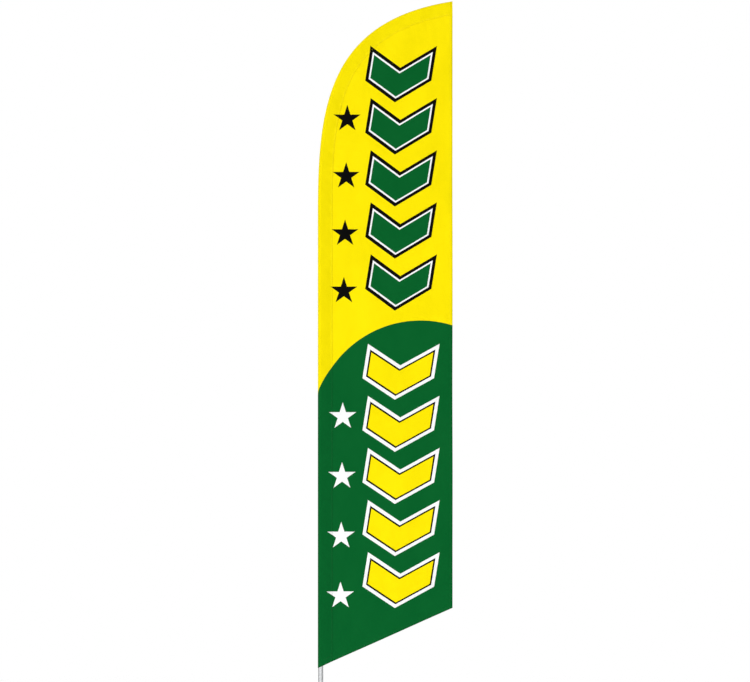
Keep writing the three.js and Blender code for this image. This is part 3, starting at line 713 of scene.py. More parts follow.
@shader_group(
    "Column of stars", "Across, Up, Lowest Across, Lowest Up, Step Across, Step Up, Radius", "Distance"
)
def star_column(w, across, up, lowest_across, lowest_up, step_across, step_up, radius):
    """Four five-pointed stars. The turn round a star is folded on to half of one point, whose edge is
    then a straight line: 0.309 (x - radius) + 0.951 y, below 0 inside."""
    number = w.math("ROUND", (up - lowest_up) / step_up).clipped(3.0)
    up = up - lowest_up - number * step_up
    across = across - (lowest_across + number * step_across)
    reach = w.math("SQRT", across * across + up * up)
    point = 2 * math.pi / 5
    turn = w.math("ARCTAN2", across, up) / point
    folded = (turn - w.math("ROUND", turn)) * point
    x = reach * w.math("COSINE", folded) - radius
    y = reach * w.math("SINE", abs(folded))
    return x * math.sin(math.pi / 10) + y * math.cos(math.pi / 10)


@shader_group(
    "Flag print", "Across, Up, Yellow: Color, Green: Color, Black: Color, White: Color", "Color: Color"
)
def flag_print(w, across, up, yellow, green, black, white):
    """Everything that is printed: the two fields, a column of chevrons in each with a line round a line,
    and a column of stars in each."""
    art = bpy.context.scene.flag_print
    inner, outer = art.lines
    found, soft = two_fields(w, across, up, *art.arc, yellow, green), 0.0005
    for column, colours in ((art.upper_chevrons, (black, white, green)),
                            (art.lower_chevrons, (white, black, yellow))):
        distance = chevron_column(w, across, up, *column, *art.chevron, art.slant)
        for edge, ink in zip((inner + outer, inner, 0.0), colours):
            found = w.mix(w.step(distance, edge + soft, edge - soft), found, ink)
    for column, ink in ((art.upper_stars, black), (art.lower_stars, white)):
        found = w.mix(w.step(star_column(w, across, up, *column, art.star), soft, -soft), found, ink)
    return found


@shader_group("Weave", "Across, Up, Across Pitch, Up Pitch", "Height, Gaps")
def weave(w, across, up, across_pitch, up_pitch):
    """Threads that cross at two pitches: the height of each is a half sine, |sin(pi across / pitch)|
    times |sin(pi up / pitch)|, and every other one is pressed lower. Gaps is 1 between threads."""
    both = w.math("SINE", across / across_pitch * math.pi) * w.math("SINE", up / up_pitch * math.pi)
    size = abs(both)
    return w.math("SQRT", size) * (w.step(both, -0.1, 0.1) * 0.45 + 0.55), w.step(size, 0.22, 0.02)


@shader_group("Grain", "Vector: Vector, Stretch: Vector, Detail", "Value")
def grain(w, place, stretch, detail):
    """Streaks or mottling: noise whose place is stretched by a vector, spread out to 0 to 1."""
    stretched = w.add("ShaderNodeVectorMath", {0: place, 1: stretch}, operation="MULTIPLY")
    return w.step(w.noise(stretched, 1.0, detail, 0.6), 0.30, 0.70)


@shader_group("Edge wear", "Edge, Vector: Vector, Amount", "Mask")
def edge_wear(w, edge, place, amount):
    """Where a corner is rubbed bare: the piece's own edge value, broken up by noise."""
    start = 1.32 - amount * 0.5
    return w.step(edge * 0.55 + w.noise(place, 420.0, 4.0, 0.65), start, start + 0.18)


@shader_group("Soiling", "Vector: Vector, Clean Above, Fade, Amount", "Mask")
def soiling(w, place, clean_above, fade, amount):
    """Dried soil: patches of noise that fade out upwards between two heights."""
    depth = ((clean_above - w.apart(place)[2]) / fade).clipped(1.0)
    start = 0.95 - amount * 0.35
    return w.step(depth * 0.26 + w.noise(place, 55.0, 6.0, 0.62), start, start + 0.12)


# Finishes.

FINISHES = {}


def finish_for(slot, name):
    """Keeps a function that wires a material, which is given a Wiring and the hardware's settings."""

    def keep(build):
        FINISHES[slot] = name, build
        return build

    return keep


def finish(slot):
    """The material for that slot, made the first time that it is asked for."""
    name, build = FINISHES[slot]
    found = bpy.data.materials.get(name)
    if found is None:
        found = bpy.data.materials.new(name)
        found.use_nodes = True
        build(Wiring(found.node_tree), bpy.context.scene.flag_hardware)
    return found


def grey(level):
    return (level, level, level)


def flat_place(w):
    """The flat cloth's coordinates from its UV map, together and apart."""
    cut = w.add("ShaderNodeUVMap", {}, uv_map="cut")
    return cut, *w.apart(cut)[:2]


def worn_edges(w, place, amount):
    edge = w.add("ShaderNodeAttribute", {}, output="Fac", attribute_type="GEOMETRY", attribute_name="edge")
    return edge_wear(w, edge, place, amount)


@finish_for("flag_cloth", "Printed flag cloth")
def printed_cloth(w, _):
    """Warp-knit polyester with its dye in it: bright, slightly uneven, and light shows through it. The gaps
    between its threads are darkened towards black as painted shade.
    """
    art, cloth = bpy.context.scene.flag_print, bpy.context.scene.flag_cloth
    cut, across, up = flat_place(w)
    ink = flag_print(w, across, up, art.yellow, art.green, art.black, art.white)
    height, painted_gap_shade = weave(w, across, up, cloth.knit, cloth.knit * 0.8)
    mottled = grain(w, cut, (7.0, 4.0, 1.0), 4.0)
    # painted shade: the gaps between the knit's threads are darkened towards black
    ink = w.mix(painted_gap_shade * 0.15, w.mix(mottled * 0.05, ink, grey(0.0)), grey(0.0))
    yarn = grain(w, cut, (900.0, 60.0, 1.0), 2.0)
    normal = w.bump(yarn, cloth.knit * 0.05, 0.5, w.bump(height, cloth.knit * 0.16, 0.8))
    shader = w.principled(Base_Color=ink, Roughness=w.between(mottled, 0.66, 0.78), Normal=normal,
                          Specular_IOR_Level=0.05, Sheen_Weight=0.015, Sheen_Roughness=0.4)
    through = w.add("ShaderNodeBsdfTranslucent", {"Color": ink, "Normal": normal})
    w.surface(w.blend(0.14, shader, through))


def bonded_thread(w, dye, ply, dullest, dull):
    w.surface(w.principled(Base_Color=dye, Roughness=w.between(ply, dullest, dull),
                           Normal=w.bump(ply, 0.00005, 0.6)))


@finish_for("thread", "Sewing thread")
def sewing_thread(w, _):
    """Glossy polyester thread, dyed to go with the field that it crosses."""
    art = bpy.context.scene.flag_print
    _, across, up = flat_place(w)
    dyed = two_fields(w, across, up, *art.arc, (0.92, 0.72, 0.01), (0.004, 0.10, 0.022))
    ply = grain(w, w.place(), grey(2400.0), 1.0)
    bonded_thread(w, w.mix(ply * 0.25, dyed, art.black), ply, 0.42, 0.55)


@finish_for("dark_thread", "Webbing thread")
def dark_thread(w, _):
    """Black bonded thread on the webbing."""
    ply = grain(w, w.place(), grey(2400.0), 1.0)
    bonded_thread(w, w.mix(ply, (0.030, 0.030, 0.032), (0.055, 0.055, 0.058)), ply, 0.40, 0.52)


@finish_for("webbing", "Black webbing")
def black_webbing(w, hardware):
    """Ribbed polyester webbing: coarse threads, dull, a little faded on the high ones. The gaps between its
    threads are darkened almost to black as painted shade.
    """
    place = w.place()
    across, _, up = w.apart(place)
    height, painted_gap_shade = weave(w, across, up, 0.0017, 0.0012)
    faded = grain(w, place, (60.0, 60.0, 25.0), 5.0)
    # painted shade: the gaps between the webbing's threads are darkened almost to black
    ink = w.mix(painted_gap_shade * 0.7, w.mix(faded * 0.55, hardware.webbing, (0.060, 0.060, 0.062)), grey(0.004))
    w.surface(w.principled(Base_Color=ink, Roughness=w.between(faded, 0.72, 0.88),
                           Normal=w.bump(height, 0.00035, 0.8), Sheen_Weight=0.15, Sheen_Roughness=0.5,
                           Specular_IOR_Level=0.3))


@finish_for("aluminium_tube", "Satin aluminium")
def satin_aluminium(w, hardware):
    """Drawn and anodised tube: fine lines along it, faint smudges, and bare metal at its ends."""
    place = w.place()
    drawn = grain(w, place, (1900.0, 1900.0, 9.0), 3.0)
    smudge = grain(w, place, (45.0, 45.0, 11.0), 6.0)
    dirt = soiling(w, place, 0.30, 0.35, 0.35)
    ink = w.mix(smudge * 0.30, hardware.aluminium, (0.46, 0.47, 0.48))
    ink = w.mix(drawn * 0.10, ink, grey(0.90))
    ink = w.mix(worn_edges(w, place, 0.8), ink, (0.93, 0.93, 0.92))
    rough = w.between(smudge, 0.27, 0.40) + drawn * 0.08 + dirt * 0.25
    w.surface(w.principled(Base_Color=w.mix(dirt * 0.45, ink, hardware.soil), Metallic=1.0 - dirt * 0.45,
                           Roughness=rough, Normal=w.bump(drawn, 0.00002, 0.35)))


@finish_for("fibreglass", "Fibreglass rod")
def fibreglass(w, hardware):
    """Pultruded rod: dark resin over long fibres that catch the light."""
    place = w.place()
    fibres = grain(w, place, (2600.0, 2600.0, 30.0), 2.0)
    clouds = grain(w, place, (120.0, 120.0, 18.0), 4.0)
    ink = w.mix(clouds * 0.5, hardware.fibreglass, (0.060, 0.066, 0.070))
    w.surface(w.principled(Base_Color=w.mix(fibres * 0.35, ink, (0.13, 0.14, 0.14)),
                           Roughness=w.between(fibres, 0.30, 0.42), Normal=w.bump(fibres, 0.00003, 0.5),
                           Coat_Weight=0.25, Coat_Roughness=0.2))


def moulded(w, hardware, dye, pale, roughness, pebble, amount):
    """A moulded piece: a fine pebbled skin, paler where it is rubbed, with some dust low down."""
    place = w.place()
    bloom = grain(w, place, grey(70.0), 6.0)
    dirt = soiling(w, place, 0.10, 0.12, 0.4)
    ink = w.mix(worn_edges(w, place, amount) * 0.6, w.mix(bloom * 0.4, dye, pale), (0.085, 0.085, 0.087))
    rough = w.between(bloom, roughness, roughness + 0.14) + dirt * 0.15
    skin = w.bump(w.noise(place, pebble, 3.0, 0.6), 0.00012, 0.4)
    w.surface(w.principled(Base_Color=w.mix(dirt * 0.5, ink, hardware.soil), Roughness=rough, Normal=skin))


@finish_for("black_nylon", "Moulded nylon")
def moulded_nylon(w, hardware):
    moulded(w, hardware, hardware.nylon, (0.034, 0.034, 0.036), 0.42, 1500.0, 0.75)


@finish_for("rubber", "Black rubber")
def black_rubber(w, hardware):
    moulded(w, hardware, hardware.rubber, grey(0.040), 0.66, 900.0, 0.5)


@finish_for("zinc_steel", "Zinc-plated steel")
def zinc_plate(w, hardware):
    """Zinc-plated mild steel: a soft grey sheen with a mottled tint, scratches, bare corners and soil."""
    place = w.place()
    spangle = grain(w, place, grey(95.0), 5.0)
    tint = grain(w, place, (16.0, 16.0, 12.0), 3.0)
    scratch = grain(w, place, (1400.0, 1400.0, 22.0), 2.0)
    dirt = soiling(w, place, -0.12, 0.40, 0.55)
    ink = w.mix(spangle, hardware.zinc, (0.56, 0.57, 0.58))
    ink = w.mix(tint * 0.35, ink, (0.50, 0.48, 0.40))
    ink = w.mix(worn_edges(w, place, 0.9) * 0.6, ink, (0.80, 0.79, 0.77))
    rough = w.between(spangle, 0.34, 0.48) + scratch * 0.08 + dirt * 0.35
    normal = w.bump(dirt, 0.0004, 0.5, w.bump(scratch, 0.00002, 0.4, w.bump(spangle, 0.00006, 0.35)))
    w.surface(w.principled(Base_Color=w.mix(dirt * 0.6, ink, hardware.soil), Metallic=1.0 - dirt * 0.9,
                           Roughness=rough, Normal=normal))


@finish_for("bright_steel", "Bright steel")
def bright_steel(w, hardware):
    """Turned steel: rings left by the tool round it, and light scratches."""
    place = w.place()
    rings = grain(w, place, (14.0, 14.0, 3200.0), 2.0)
    smear = grain(w, place, (90.0, 90.0, 60.0), 5.0)
    ink = w.mix(rings * 0.18, hardware.steel, (0.84, 0.84, 0.83))
    ink = w.mix(smear * 0.15, ink, (0.45, 0.44, 0.42))
    ink = w.mix(worn_edges(w, place, 0.6), ink, (0.92, 0.92, 0.91))
    w.surface(w.principled(Base_Color=ink, Metallic=1.0, Normal=w.bump(rings, 0.00002, 0.4),
                           Roughness=w.between(smear, 0.15, 0.28) + rings * 0.08))


@finish_for("floor", "Studio floor")
def studio_floor(w, _):
    """A pale, faintly mottled floor that fades out towards its edge."""
    stage = bpy.context.scene.flag_stage
    place = w.place()
    distance = w.add("ShaderNodeVectorMath", {0: place}, output="Value", operation="LENGTH")
    fade = w.step(distance, stage.floor_radius * 0.55, stage.floor_radius * 1.5)
    ink = w.mix(grain(w, place, grey(3.0), 4.0) * 0.03, stage.floor, grey(0.7))
    shader = w.principled(Base_Color=ink, Roughness=0.7, Specular_IOR_Level=0.2)
    w.surface(w.blend(fade, shader, w.add("ShaderNodeBsdfTransparent", {})))


# The flag.


def stitched(name, slot, finished, rows):
    """Rows of stitches as one mesh. Each row is its points, the same points lifted off the cloth, and
    their flat places if it has any; stitches stand at an equal pitch along it, turned to its direction
    and the cloth's face. A stitch is four five-sided rings along it, the outer two thin and sunk."""
    cloth = bpy.context.scene.flag_cloth
    at = np.array([-0.5, -0.22, 0.22, 0.5])[:, None] * cloth.stitch_length
    size = np.array([0.35, 1.0, 1.0, 0.35])[:, None] * cloth.thread
    sunk = np.array([-0.6, 0.0, 0.0, -0.6])[:, None] * cloth.thread
    turn = np.linspace(0, 2 * math.pi, 5, endpoint=False)[None, :]
    shape = np.stack([at + 0 * turn, size * np.cos(turn), size * np.sin(turn) + sunk], axis=-1)
    shape = shape.reshape(-1, 3)

    all_points, all_cuts = [], []
    for line, lifted, *flat in rows:
        way = along(line)
        at = np.arange(cloth.stitch_pitch / 2, way[-1], cloth.stitch_pitch)

        def sampled(values, where):
            return np.stack([np.interp(where, way, column) for column in values.T], axis=1)

        forward = unit(sampled(line, at + 0.0005) - sampled(line, at - 0.0005))
        out = sampled(lifted - line, at)
        out = unit(out - (out * forward).sum(1, keepdims=True) * forward)
        frames = np.stack([forward, np.cross(out, forward), out], axis=1)
        all_points.append((sampled(line, at)[:, None] + shape @ frames).reshape(-1, 3))
        all_cuts += [np.repeat(sampled(places, at), len(shape), axis=0) for places in flat]
    points = np.concatenate(all_points)
    first = np.arange(0, len(points), len(shape))[:, None, None]
    quads, ends = capped(4, 5)[:-2], capped(4, 5)[-2:]
    faces = [face for own in (quads, ends) for face in (first + own).reshape(-1, len(own[0])).tolist()]
    cut = np.concatenate(all_cuts) if all_cuts else None
    return piece(name, slot, points, faces, finished=finished, cut=cut)


def seam_points(s):
    """The line under the sleeve's flange where the panel ends."""
    return np.stack(beside_pole(s, np.full(np.shape(s), PANEL_START)), axis=-1)


def panel_top():
    """Where the panel's seam meets the free edge: its s and its height."""
    s = np.linspace(TIP_WAY - 0.1, TIP_WAY + 0.1, 400)
    found = float(np.interp(FREE_EDGE, seam_points(s)[:, 0], s))
    return found, float(seam_points(np.array([found]))[0, 1])


def panel_grid(columns, rows):
    """The panel's flat places (x, z): a Coons patch between its seam, bottom edge, free edge and
    shoulder. A point is the mean line between left and right, plus that between bottom and top, less
    the flat patch between the corners."""
    top_s, top_z = panel_top()
    corner_s = BEND_START + 0.62
    u, v = np.linspace(0, 1, columns)[None, :, None], np.linspace(0, 1, rows)[:, None, None]
    left = seam_points(bottom_edge(PANEL_START) + (corner_s - bottom_edge(PANEL_START)) * v[:, :, 0])
    upper = seam_points(corner_s + (top_s - corner_s) * u[:, :, 0])
    right_z = bottom_edge(FREE_EDGE) + (top_z - bottom_edge(FREE_EDGE)) * v
    right = np.concatenate([np.full_like(right_z, FREE_EDGE), right_z], axis=-1)
    lower_x = PANEL_START + (FREE_EDGE - PANEL_START) * u
    lower = np.concatenate([lower_x, bottom_edge(lower_x)], axis=-1)
    corners = (1 - v) * ((1 - u) * lower[:, :1] + u * lower[:, -1:])
    corners = corners + v * ((1 - u) * upper[:, :1] + u * upper[:, -1:])
    return (1 - u) * left + u * right + (1 - v) * lower + v * upper - corners


def on_panel(x, z, lift=0.0):
    """Points of the panel over flat places, moved back by lift, and the flat places on the print."""
    x, z = np.broadcast_arrays(x, z)
    return np.stack([x, panel_depth(x, z) + lift, z], axis=-1), on_print(x, z)


def free_edge_places(across, rows):
    """Flat places of the hem along the free edge, across metres in from it."""
    start = bottom_edge(FREE_EDGE - across)
    z = start[None, :] + (panel_top()[1] - 0.001 - start)[None, :] * rows[:, None]
    return FREE_EDGE - across[None, :] + 0 * z, z


def bottom_edge_places(up, columns):
    """Flat places of the hem along the bottom edge, up metres square to the edge."""
    x = SEAM + (FREE_EDGE - HEM - SEAM) * columns[:, None] + 0 * up[None, :]
    return x, bottom_edge(x) + up[None, :] * math.hypot(1, BOTTOM_SLOPE)


def cloth_grids():
    """Columns and rows over the panel, and over the sleeve, for the cloth's grid step."""
    step = bpy.context.scene.flag_cloth.step
    panel = round(FLAG_WIDTH / step), round((FLAG_TOP - FLAG_BOTTOM) / step)
    around = 2 * (SEAM + 2 * SLEEVE_RADIUS)
    return panel, (round(around / (0.5 * step)), round((TIP_WAY - FLAG_BOTTOM) / (0.82 * step)))


class FLAG_OT_panel(bpy.types.Operator):
    """Lay out the flag's printed panel, with its swells and creases"""

    bl_idname = "feather_flag.panel"
    bl_label = "Panel"

    def execute(self, context):
        places = panel_grid(*cloth_grids()[0])
        sheet("flag_panel_cloth", "flag_cloth", *on_panel(places[..., 0], places[..., 1]), ["flag_panel"],
              context.scene.flag_cloth.thickness)
        return {"FINISHED"}


class FLAG_OT_sleeve(bpy.types.Operator):
    """Wrap the sleeve round the pole, with the webbing band inside its mouth"""

    bl_idname = "feather_flag.sleeve"
    bl_label = "Sleeve"

    def execute(self, context):
        thickness = context.scene.flag_cloth.thickness
        columns, rows = cloth_grids()[1]
        up = np.concatenate([np.linspace(0, 0.9955, rows), np.linspace(0.996, 1, 14)])
        surface = sleeve(up, np.linspace(0, 1, columns), lift=-thickness / 2)
        sheet("pole_sleeve_cloth", "flag_cloth", *surface, ["pole_sleeve", "sleeve_end_seam"], thickness)
        band_height = high("mouth_webbing").z - bottom_edge(high("mouth_webbing").x)
        surface = sleeve(np.linspace(0, 1, 9), np.linspace(0.075, 0.925, columns), -0.0013, band_height)
        sheet("mouth_webbing_band", "webbing", *surface, ["mouth_webbing"], 0.0009)
        return {"FINISHED"}


class FLAG_OT_hems(bpy.types.Operator):
    """Fold the hems along the free edge and the bottom edge to the flag's back"""

    bl_idname = "feather_flag.hems"
    bl_label = "Hems"

    def execute(self, context):
        fold = 0.0012  # the part of a hem that turns round the edge
        across = np.concatenate([np.linspace(0, fold, 4), np.linspace(0.003, HEM, 5)])
        rows = cloth_grids()[0][1]
        for node, places in (
            ("free_edge_hem", free_edge_places(across, np.linspace(0, 1, rows))),
            ("bottom_hem", bottom_edge_places(across, np.linspace(0, 1, rows // 4))),
        ):
            lift = HEM_LIFT * np.sin(np.clip(across / fold, 0, 1) * math.pi / 2)
            sheet(node + "_fold", "flag_cloth", *on_panel(*places, lift), [node],
                  context.scene.flag_cloth.thickness)
        return {"FINISHED"}


class FLAG_OT_stitching(bpy.types.Operator):
    """Sew the seams: two rows by the sleeve, one along each hem, and those round the mouth and the tip"""

    bl_idname = "feather_flag.stitching"
    bl_label = "Stitching"

    def execute(self, context):
        section = np.linspace(0, 1, 2001)
        off = sleeve_section(section)[0]

        def on_sleeve(rows, columns, top=None):
            line, flat = sleeve(np.atleast_1d(rows), np.atleast_1d(columns), top=top)
            lifted, _ = sleeve(np.atleast_1d(rows), np.atleast_1d(columns), lift=OUTWARD, top=top)
            return line.reshape(-1, 3), lifted.reshape(-1, 3), flat.reshape(-1, 2)

        up = np.linspace(0.0015, 0.9975, 1600)
        on_flange, row_ways = slice(400), (0.0018, 0.0062)  # metres in from the flange's edge
        in_from_end = np.interp(row_ways, FLANGE_EDGE - off[on_flange], section[on_flange])
        for side, behind in (("front", 0), ("back", 1)):
            rows = [on_sleeve(up, abs(behind - way)) for way in in_from_end]
            stitched(f"seam_stitching_{side}", "flag_cloth", "thread", rows)

        rows = [on_sleeve(1.0, np.linspace(0.06, 0.94, 500), top=height) for height in (0.006, 0.029)]
        half_way = np.linspace(0.0, 0.47, 200)
        rows += [on_sleeve(up, way) for way in (half_way, 1 - half_way) for up in (0.9994, 0.99875)]
        stitched("mouth_and_tip_stitching", "flag_cloth", "thread", rows)

        half, rows = context.scene.flag_cloth.thickness / 2, []
        inside_hem = np.array([HEM - 0.0025])
        for x, z in (
            free_edge_places(inside_hem, np.linspace(0.001, 0.999, 900)),
            bottom_edge_places(inside_hem, np.linspace(0.003, 0.999, 300)),
        ):
            for lift, way in ((-half, -1), (HEM_LIFT + half, 1)):
                line, flat = on_panel(x.ravel(), z.ravel(), lift)
                rows.append((line, line + [0, way * OUTWARD, 0], flat))
        stitched("hem_stitching", "flag_cloth", "thread", rows)
        self.declare_sheets()
        return {"FINISHED"}

    def declare_sheets(self):
        """Lays out the panel's outline, the points of its seam and the lower corner of its free edge, as x
        and z. Nothing is done with it after that."""
        seam = seam_points(np.linspace(bottom_edge(PANEL_START), panel_top()[0], 600))
        x, z = np.concatenate([seam, [[FREE_EDGE, bottom_edge(FREE_EDGE)]]]).T


# The hardware.


class FLAG_OT_pole(bpy.types.Operator):
    """Draw the lower tube and mould the pole's foot"""

    bl_idname = "feather_flag.pole"
    bl_label = "Pole"

    def execute(self, context):
        hardware = context.scene.flag_hardware
        inner, top = POLE_RADIUS - 0.0016, high("pole_section_1").z
        outline = [[inner, POLE_FOOT], [POLE_RADIUS, POLE_FOOT], [POLE_RADIUS, top], [inner, top]]
        piece("pole_section_1_tube", "aluminium_tube", *turned(outline), replaces=["pole_section_1"])

        bottom, top = low("pole_foot_ferrule").z, high("pole_foot_ferrule").z
        outer, bore = high("pole_foot_ferrule").x, POLE_RADIUS + GAP

        def ribs(r, turn, z):
            """Grooves round the outside, half a cosine deep, that fade out at both ends."""
            reach = ease(z, bottom + 0.006, bottom + 0.010) * (1 - ease(z, top - 0.012, top - 0.008))
            depth = hardware.rib_depth * (0.5 - 0.5 * np.cos(hardware.ribs * turn))
            return depth * reach * (r > bore + 0.001)

        heights = np.linspace(bottom + 0.005, top - 0.007, 12)
        outline = [[bore, bottom], [outer, bottom], *[[outer, z] for z in heights],
                   [outer, top - 0.003], [outer - 0.0022, top], [bore, top]]
        piece("pole_foot_grip", "black_nylon", *turned(outline, 0.0005, segments=240, groove=ribs),
              replaces=["pole_foot_ferrule"])
        return {"FINISHED"}


class FLAG_OT_spindle(bpy.types.Operator):
    """Turn the spindle that the pole stands on, with its seals and dust cap"""

    bl_idname = "feather_flag.spindle"
    bl_label = "Spindle"

    def execute(self, context):
        bottom, top, flange = low("spindle").z, high("spindle").z, high("spindle").x
        radius, shaft, boss, centre = 0.0096, 0.0075, 0.0103, 0.0004
        boss_low, flange_low, flange_high = 0.0365, 0.0420, 0.0480
        seals = [(node, (low(node).z + high(node).z) / 2) for node in ("o_ring_lower", "o_ring_upper")]
        seat, groove = high("o_ring_lower").x - 0.0028, 0.00155
        clip_low, clip_high = low("spindle_clip").z - GAP, high("spindle_clip").z + GAP
        clip_seat = shaft - 0.0012
        outline = [
            [centre, bottom], [shaft, bottom], [shaft, clip_low], [clip_seat, clip_low],
            [clip_seat, clip_high], [shaft, clip_high], [shaft, boss_low], [boss, boss_low],
            [boss, flange_low], [flange, flange_low], [flange, flange_high], [radius, flange_high],
        ]
        for _, z in seals:
            outline += [[radius, z - groove], [seat, z - groove], [seat, z + groove], [radius, z + groove]]
        outline += [[radius, top - 0.006], [radius - 0.003, top], [centre, top]]
        piece("spindle_turned", "bright_steel", *turned(outline, 0.0004, closed=False), body="spindle",
              replaces=["spindle"])

        for node, z in seals:
            cord = (high(node).z - low(node).z) / 2
            outline = cord * circle(14) + [high(node).x - cord, z]
            points, faces, _ = turned(outline, hexed=np.zeros(14))
            piece(node + "_seal", "rubber", points, faces, body="spindle", replaces=[node])

        bottom, top, outside = low("dust_cap").z, high("dust_cap").z, high("dust_cap").x
        bore, inside, under, skirt = 0.01055, outside - 0.0026, top - 0.0014, outside - 0.0006
        ring, ring_half, ring_depth = 0.0184, 0.0006, 0.0004
        outline = [
            [bore, under], [inside, under], [inside, bottom], [outside, bottom],
            [outside, bottom + 0.0022], [skirt, bottom + 0.0028], [skirt, top - 0.0022],
            [outside - 0.0018, top], [ring + ring_half, top], [ring, top - ring_depth],
            [ring - ring_half, top], [bore, top],
        ]
        piece("dust_cap_moulded", "rubber", *turned(outline, 0.0004), body="spindle", replaces=["dust_cap"])
        return {"FINISHED"}


class FLAG_OT_spike(bpy.types.Operator):
    """Cut and weld the ground spike: crossed blades, bearing housing and foot plate"""

    bl_idname = "feather_flag.spike"
    bl_label = "Ground spike"

    def execute(self, context):
        top, tip = high("spike_blade_side").z, low("spike_blade_side").z
        half, thick = high("spike_blade_side").x, high("spike_blade_side").y
        housing, housing_low, housing_high = (high("bearing_housing").x, low("bearing_housing").z,
                                              high("bearing_housing").z)
        notch, notch_floor, slot, point = housing + GAP, housing_low - GAP, thick + GAP, 0.0006
        crossing, shoulder = (notch_floor + tip) / 2, -0.150
        slope = (shoulder - tip) / half
        side = [
            [-half, top], [-half, shoulder], [-point, tip + point * slope], [point, tip + point * slope],
            [half, shoulder], [half, top], [notch, top], [notch, notch_floor], [slot, notch_floor],
            [slot, crossing], [-slot, crossing], [-slot, notch_floor], [-notch, notch_floor], [-notch, top],
        ]
        cross = [
            [-half, top], [-half, shoulder], [-slot, tip + slot * slope], [-slot, crossing + GAP],
            [slot, crossing + GAP], [slot, tip + slot * slope], [half, shoulder], [half, top],
            [notch, top], [notch, notch_floor], [-notch, notch_floor], [-notch, top],
        ]
        for node, outline, axis in (("spike_blade_side", side, 1), ("spike_blade_cross", cross, 0)):
            self.part(node + "_plate", extruded(outline, -thick, thick, axis), node, bevel=0.0005)

        plate, plate_high, chamfer = high("foot_plate").x, high("foot_plate").z, 0.0012
        outline = [[notch, 0], [plate - chamfer, 0], [plate, chamfer], [plate, plate_high - chamfer],
                   [plate - chamfer, plate_high], [notch, plate_high]]
        self.part("foot_plate_disc", turned(outline, 0.0005, segments=96), "foot_plate")

        bore, groove = 0.0178, 0.0190
        clip_low, clip_high = low("housing_clip").z - GAP, high("housing_clip").z + GAP
        outline = [[bore, housing_low], [housing, housing_low], [housing, housing_high],
                   [bore, housing_high], [bore, clip_high], [groove, clip_high], [groove, clip_low],
                   [bore, clip_low]]
        self.part("bearing_housing_tube", turned(outline), "bearing_housing")
        self.part("spike_weld_beads", self.beads(context, housing, thick, housing_low, plate_high))
        return {"FINISHED"}

    def part(self, name, shape, *nodes, bevel=0.0):
        piece(name, "zinc_steel", *shape, body="ground_spike", replaces=nodes, bevel=bevel)

    def beads(self, context, housing, thick, housing_low, plate_high):
        """Beads in the corners: circles carried along a line, swelling and sinking every 2.2 mm as the
        arc was moved on."""

        def bead(path, upward, scale=1.0):
            way = along(path)
            ripple = 1 + 0.16 * np.abs(np.sin(way * math.pi / 0.0022)) + 0.05 * uneven(way * 60, 0.4)
            ends = ease(way, 0, 0.003) * (1 - ease(way, way[-1] - 0.003, way[-1]))
            size = context.scene.flag_hardware.weld * scale * ripple * (0.35 + 0.65 * ends)
            return swept(path, size[:, None, None] * circle(10), upward)

        z = np.linspace(-0.003, housing_low + 0.002, 90)
        beside_blade = math.asin((thick + 0.0006) / (housing + 0.0002))
        shapes = []
        for quarter in range(4):
            for side in (-1, 1):
                angle = quarter * math.pi / 2 + side * beside_blade
                x, y = (housing + 0.0004) * math.cos(angle), (housing + 0.0004) * math.sin(angle)
                shapes.append(bead(np.stack([x + 0 * z, y + 0 * z, z], axis=1), (-y, x, 0)))
        around = np.linspace(0.02, 2 * math.pi - 0.02, 260)
        ring = (housing + 0.0008) * np.stack([np.cos(around), np.sin(around)], axis=1)
        path = np.column_stack([ring, np.full(len(around), plate_high + 0.0004)])
        shapes.append(bead(path, (0, 0, 1), 1.15))
        first = np.cumsum([0] + [len(points) for points, _ in shapes])
        faces = [[i + start for i in face] for start, (_, own) in zip(first, shapes) for face in own]
        return np.concatenate([points for points, _ in shapes]), faces


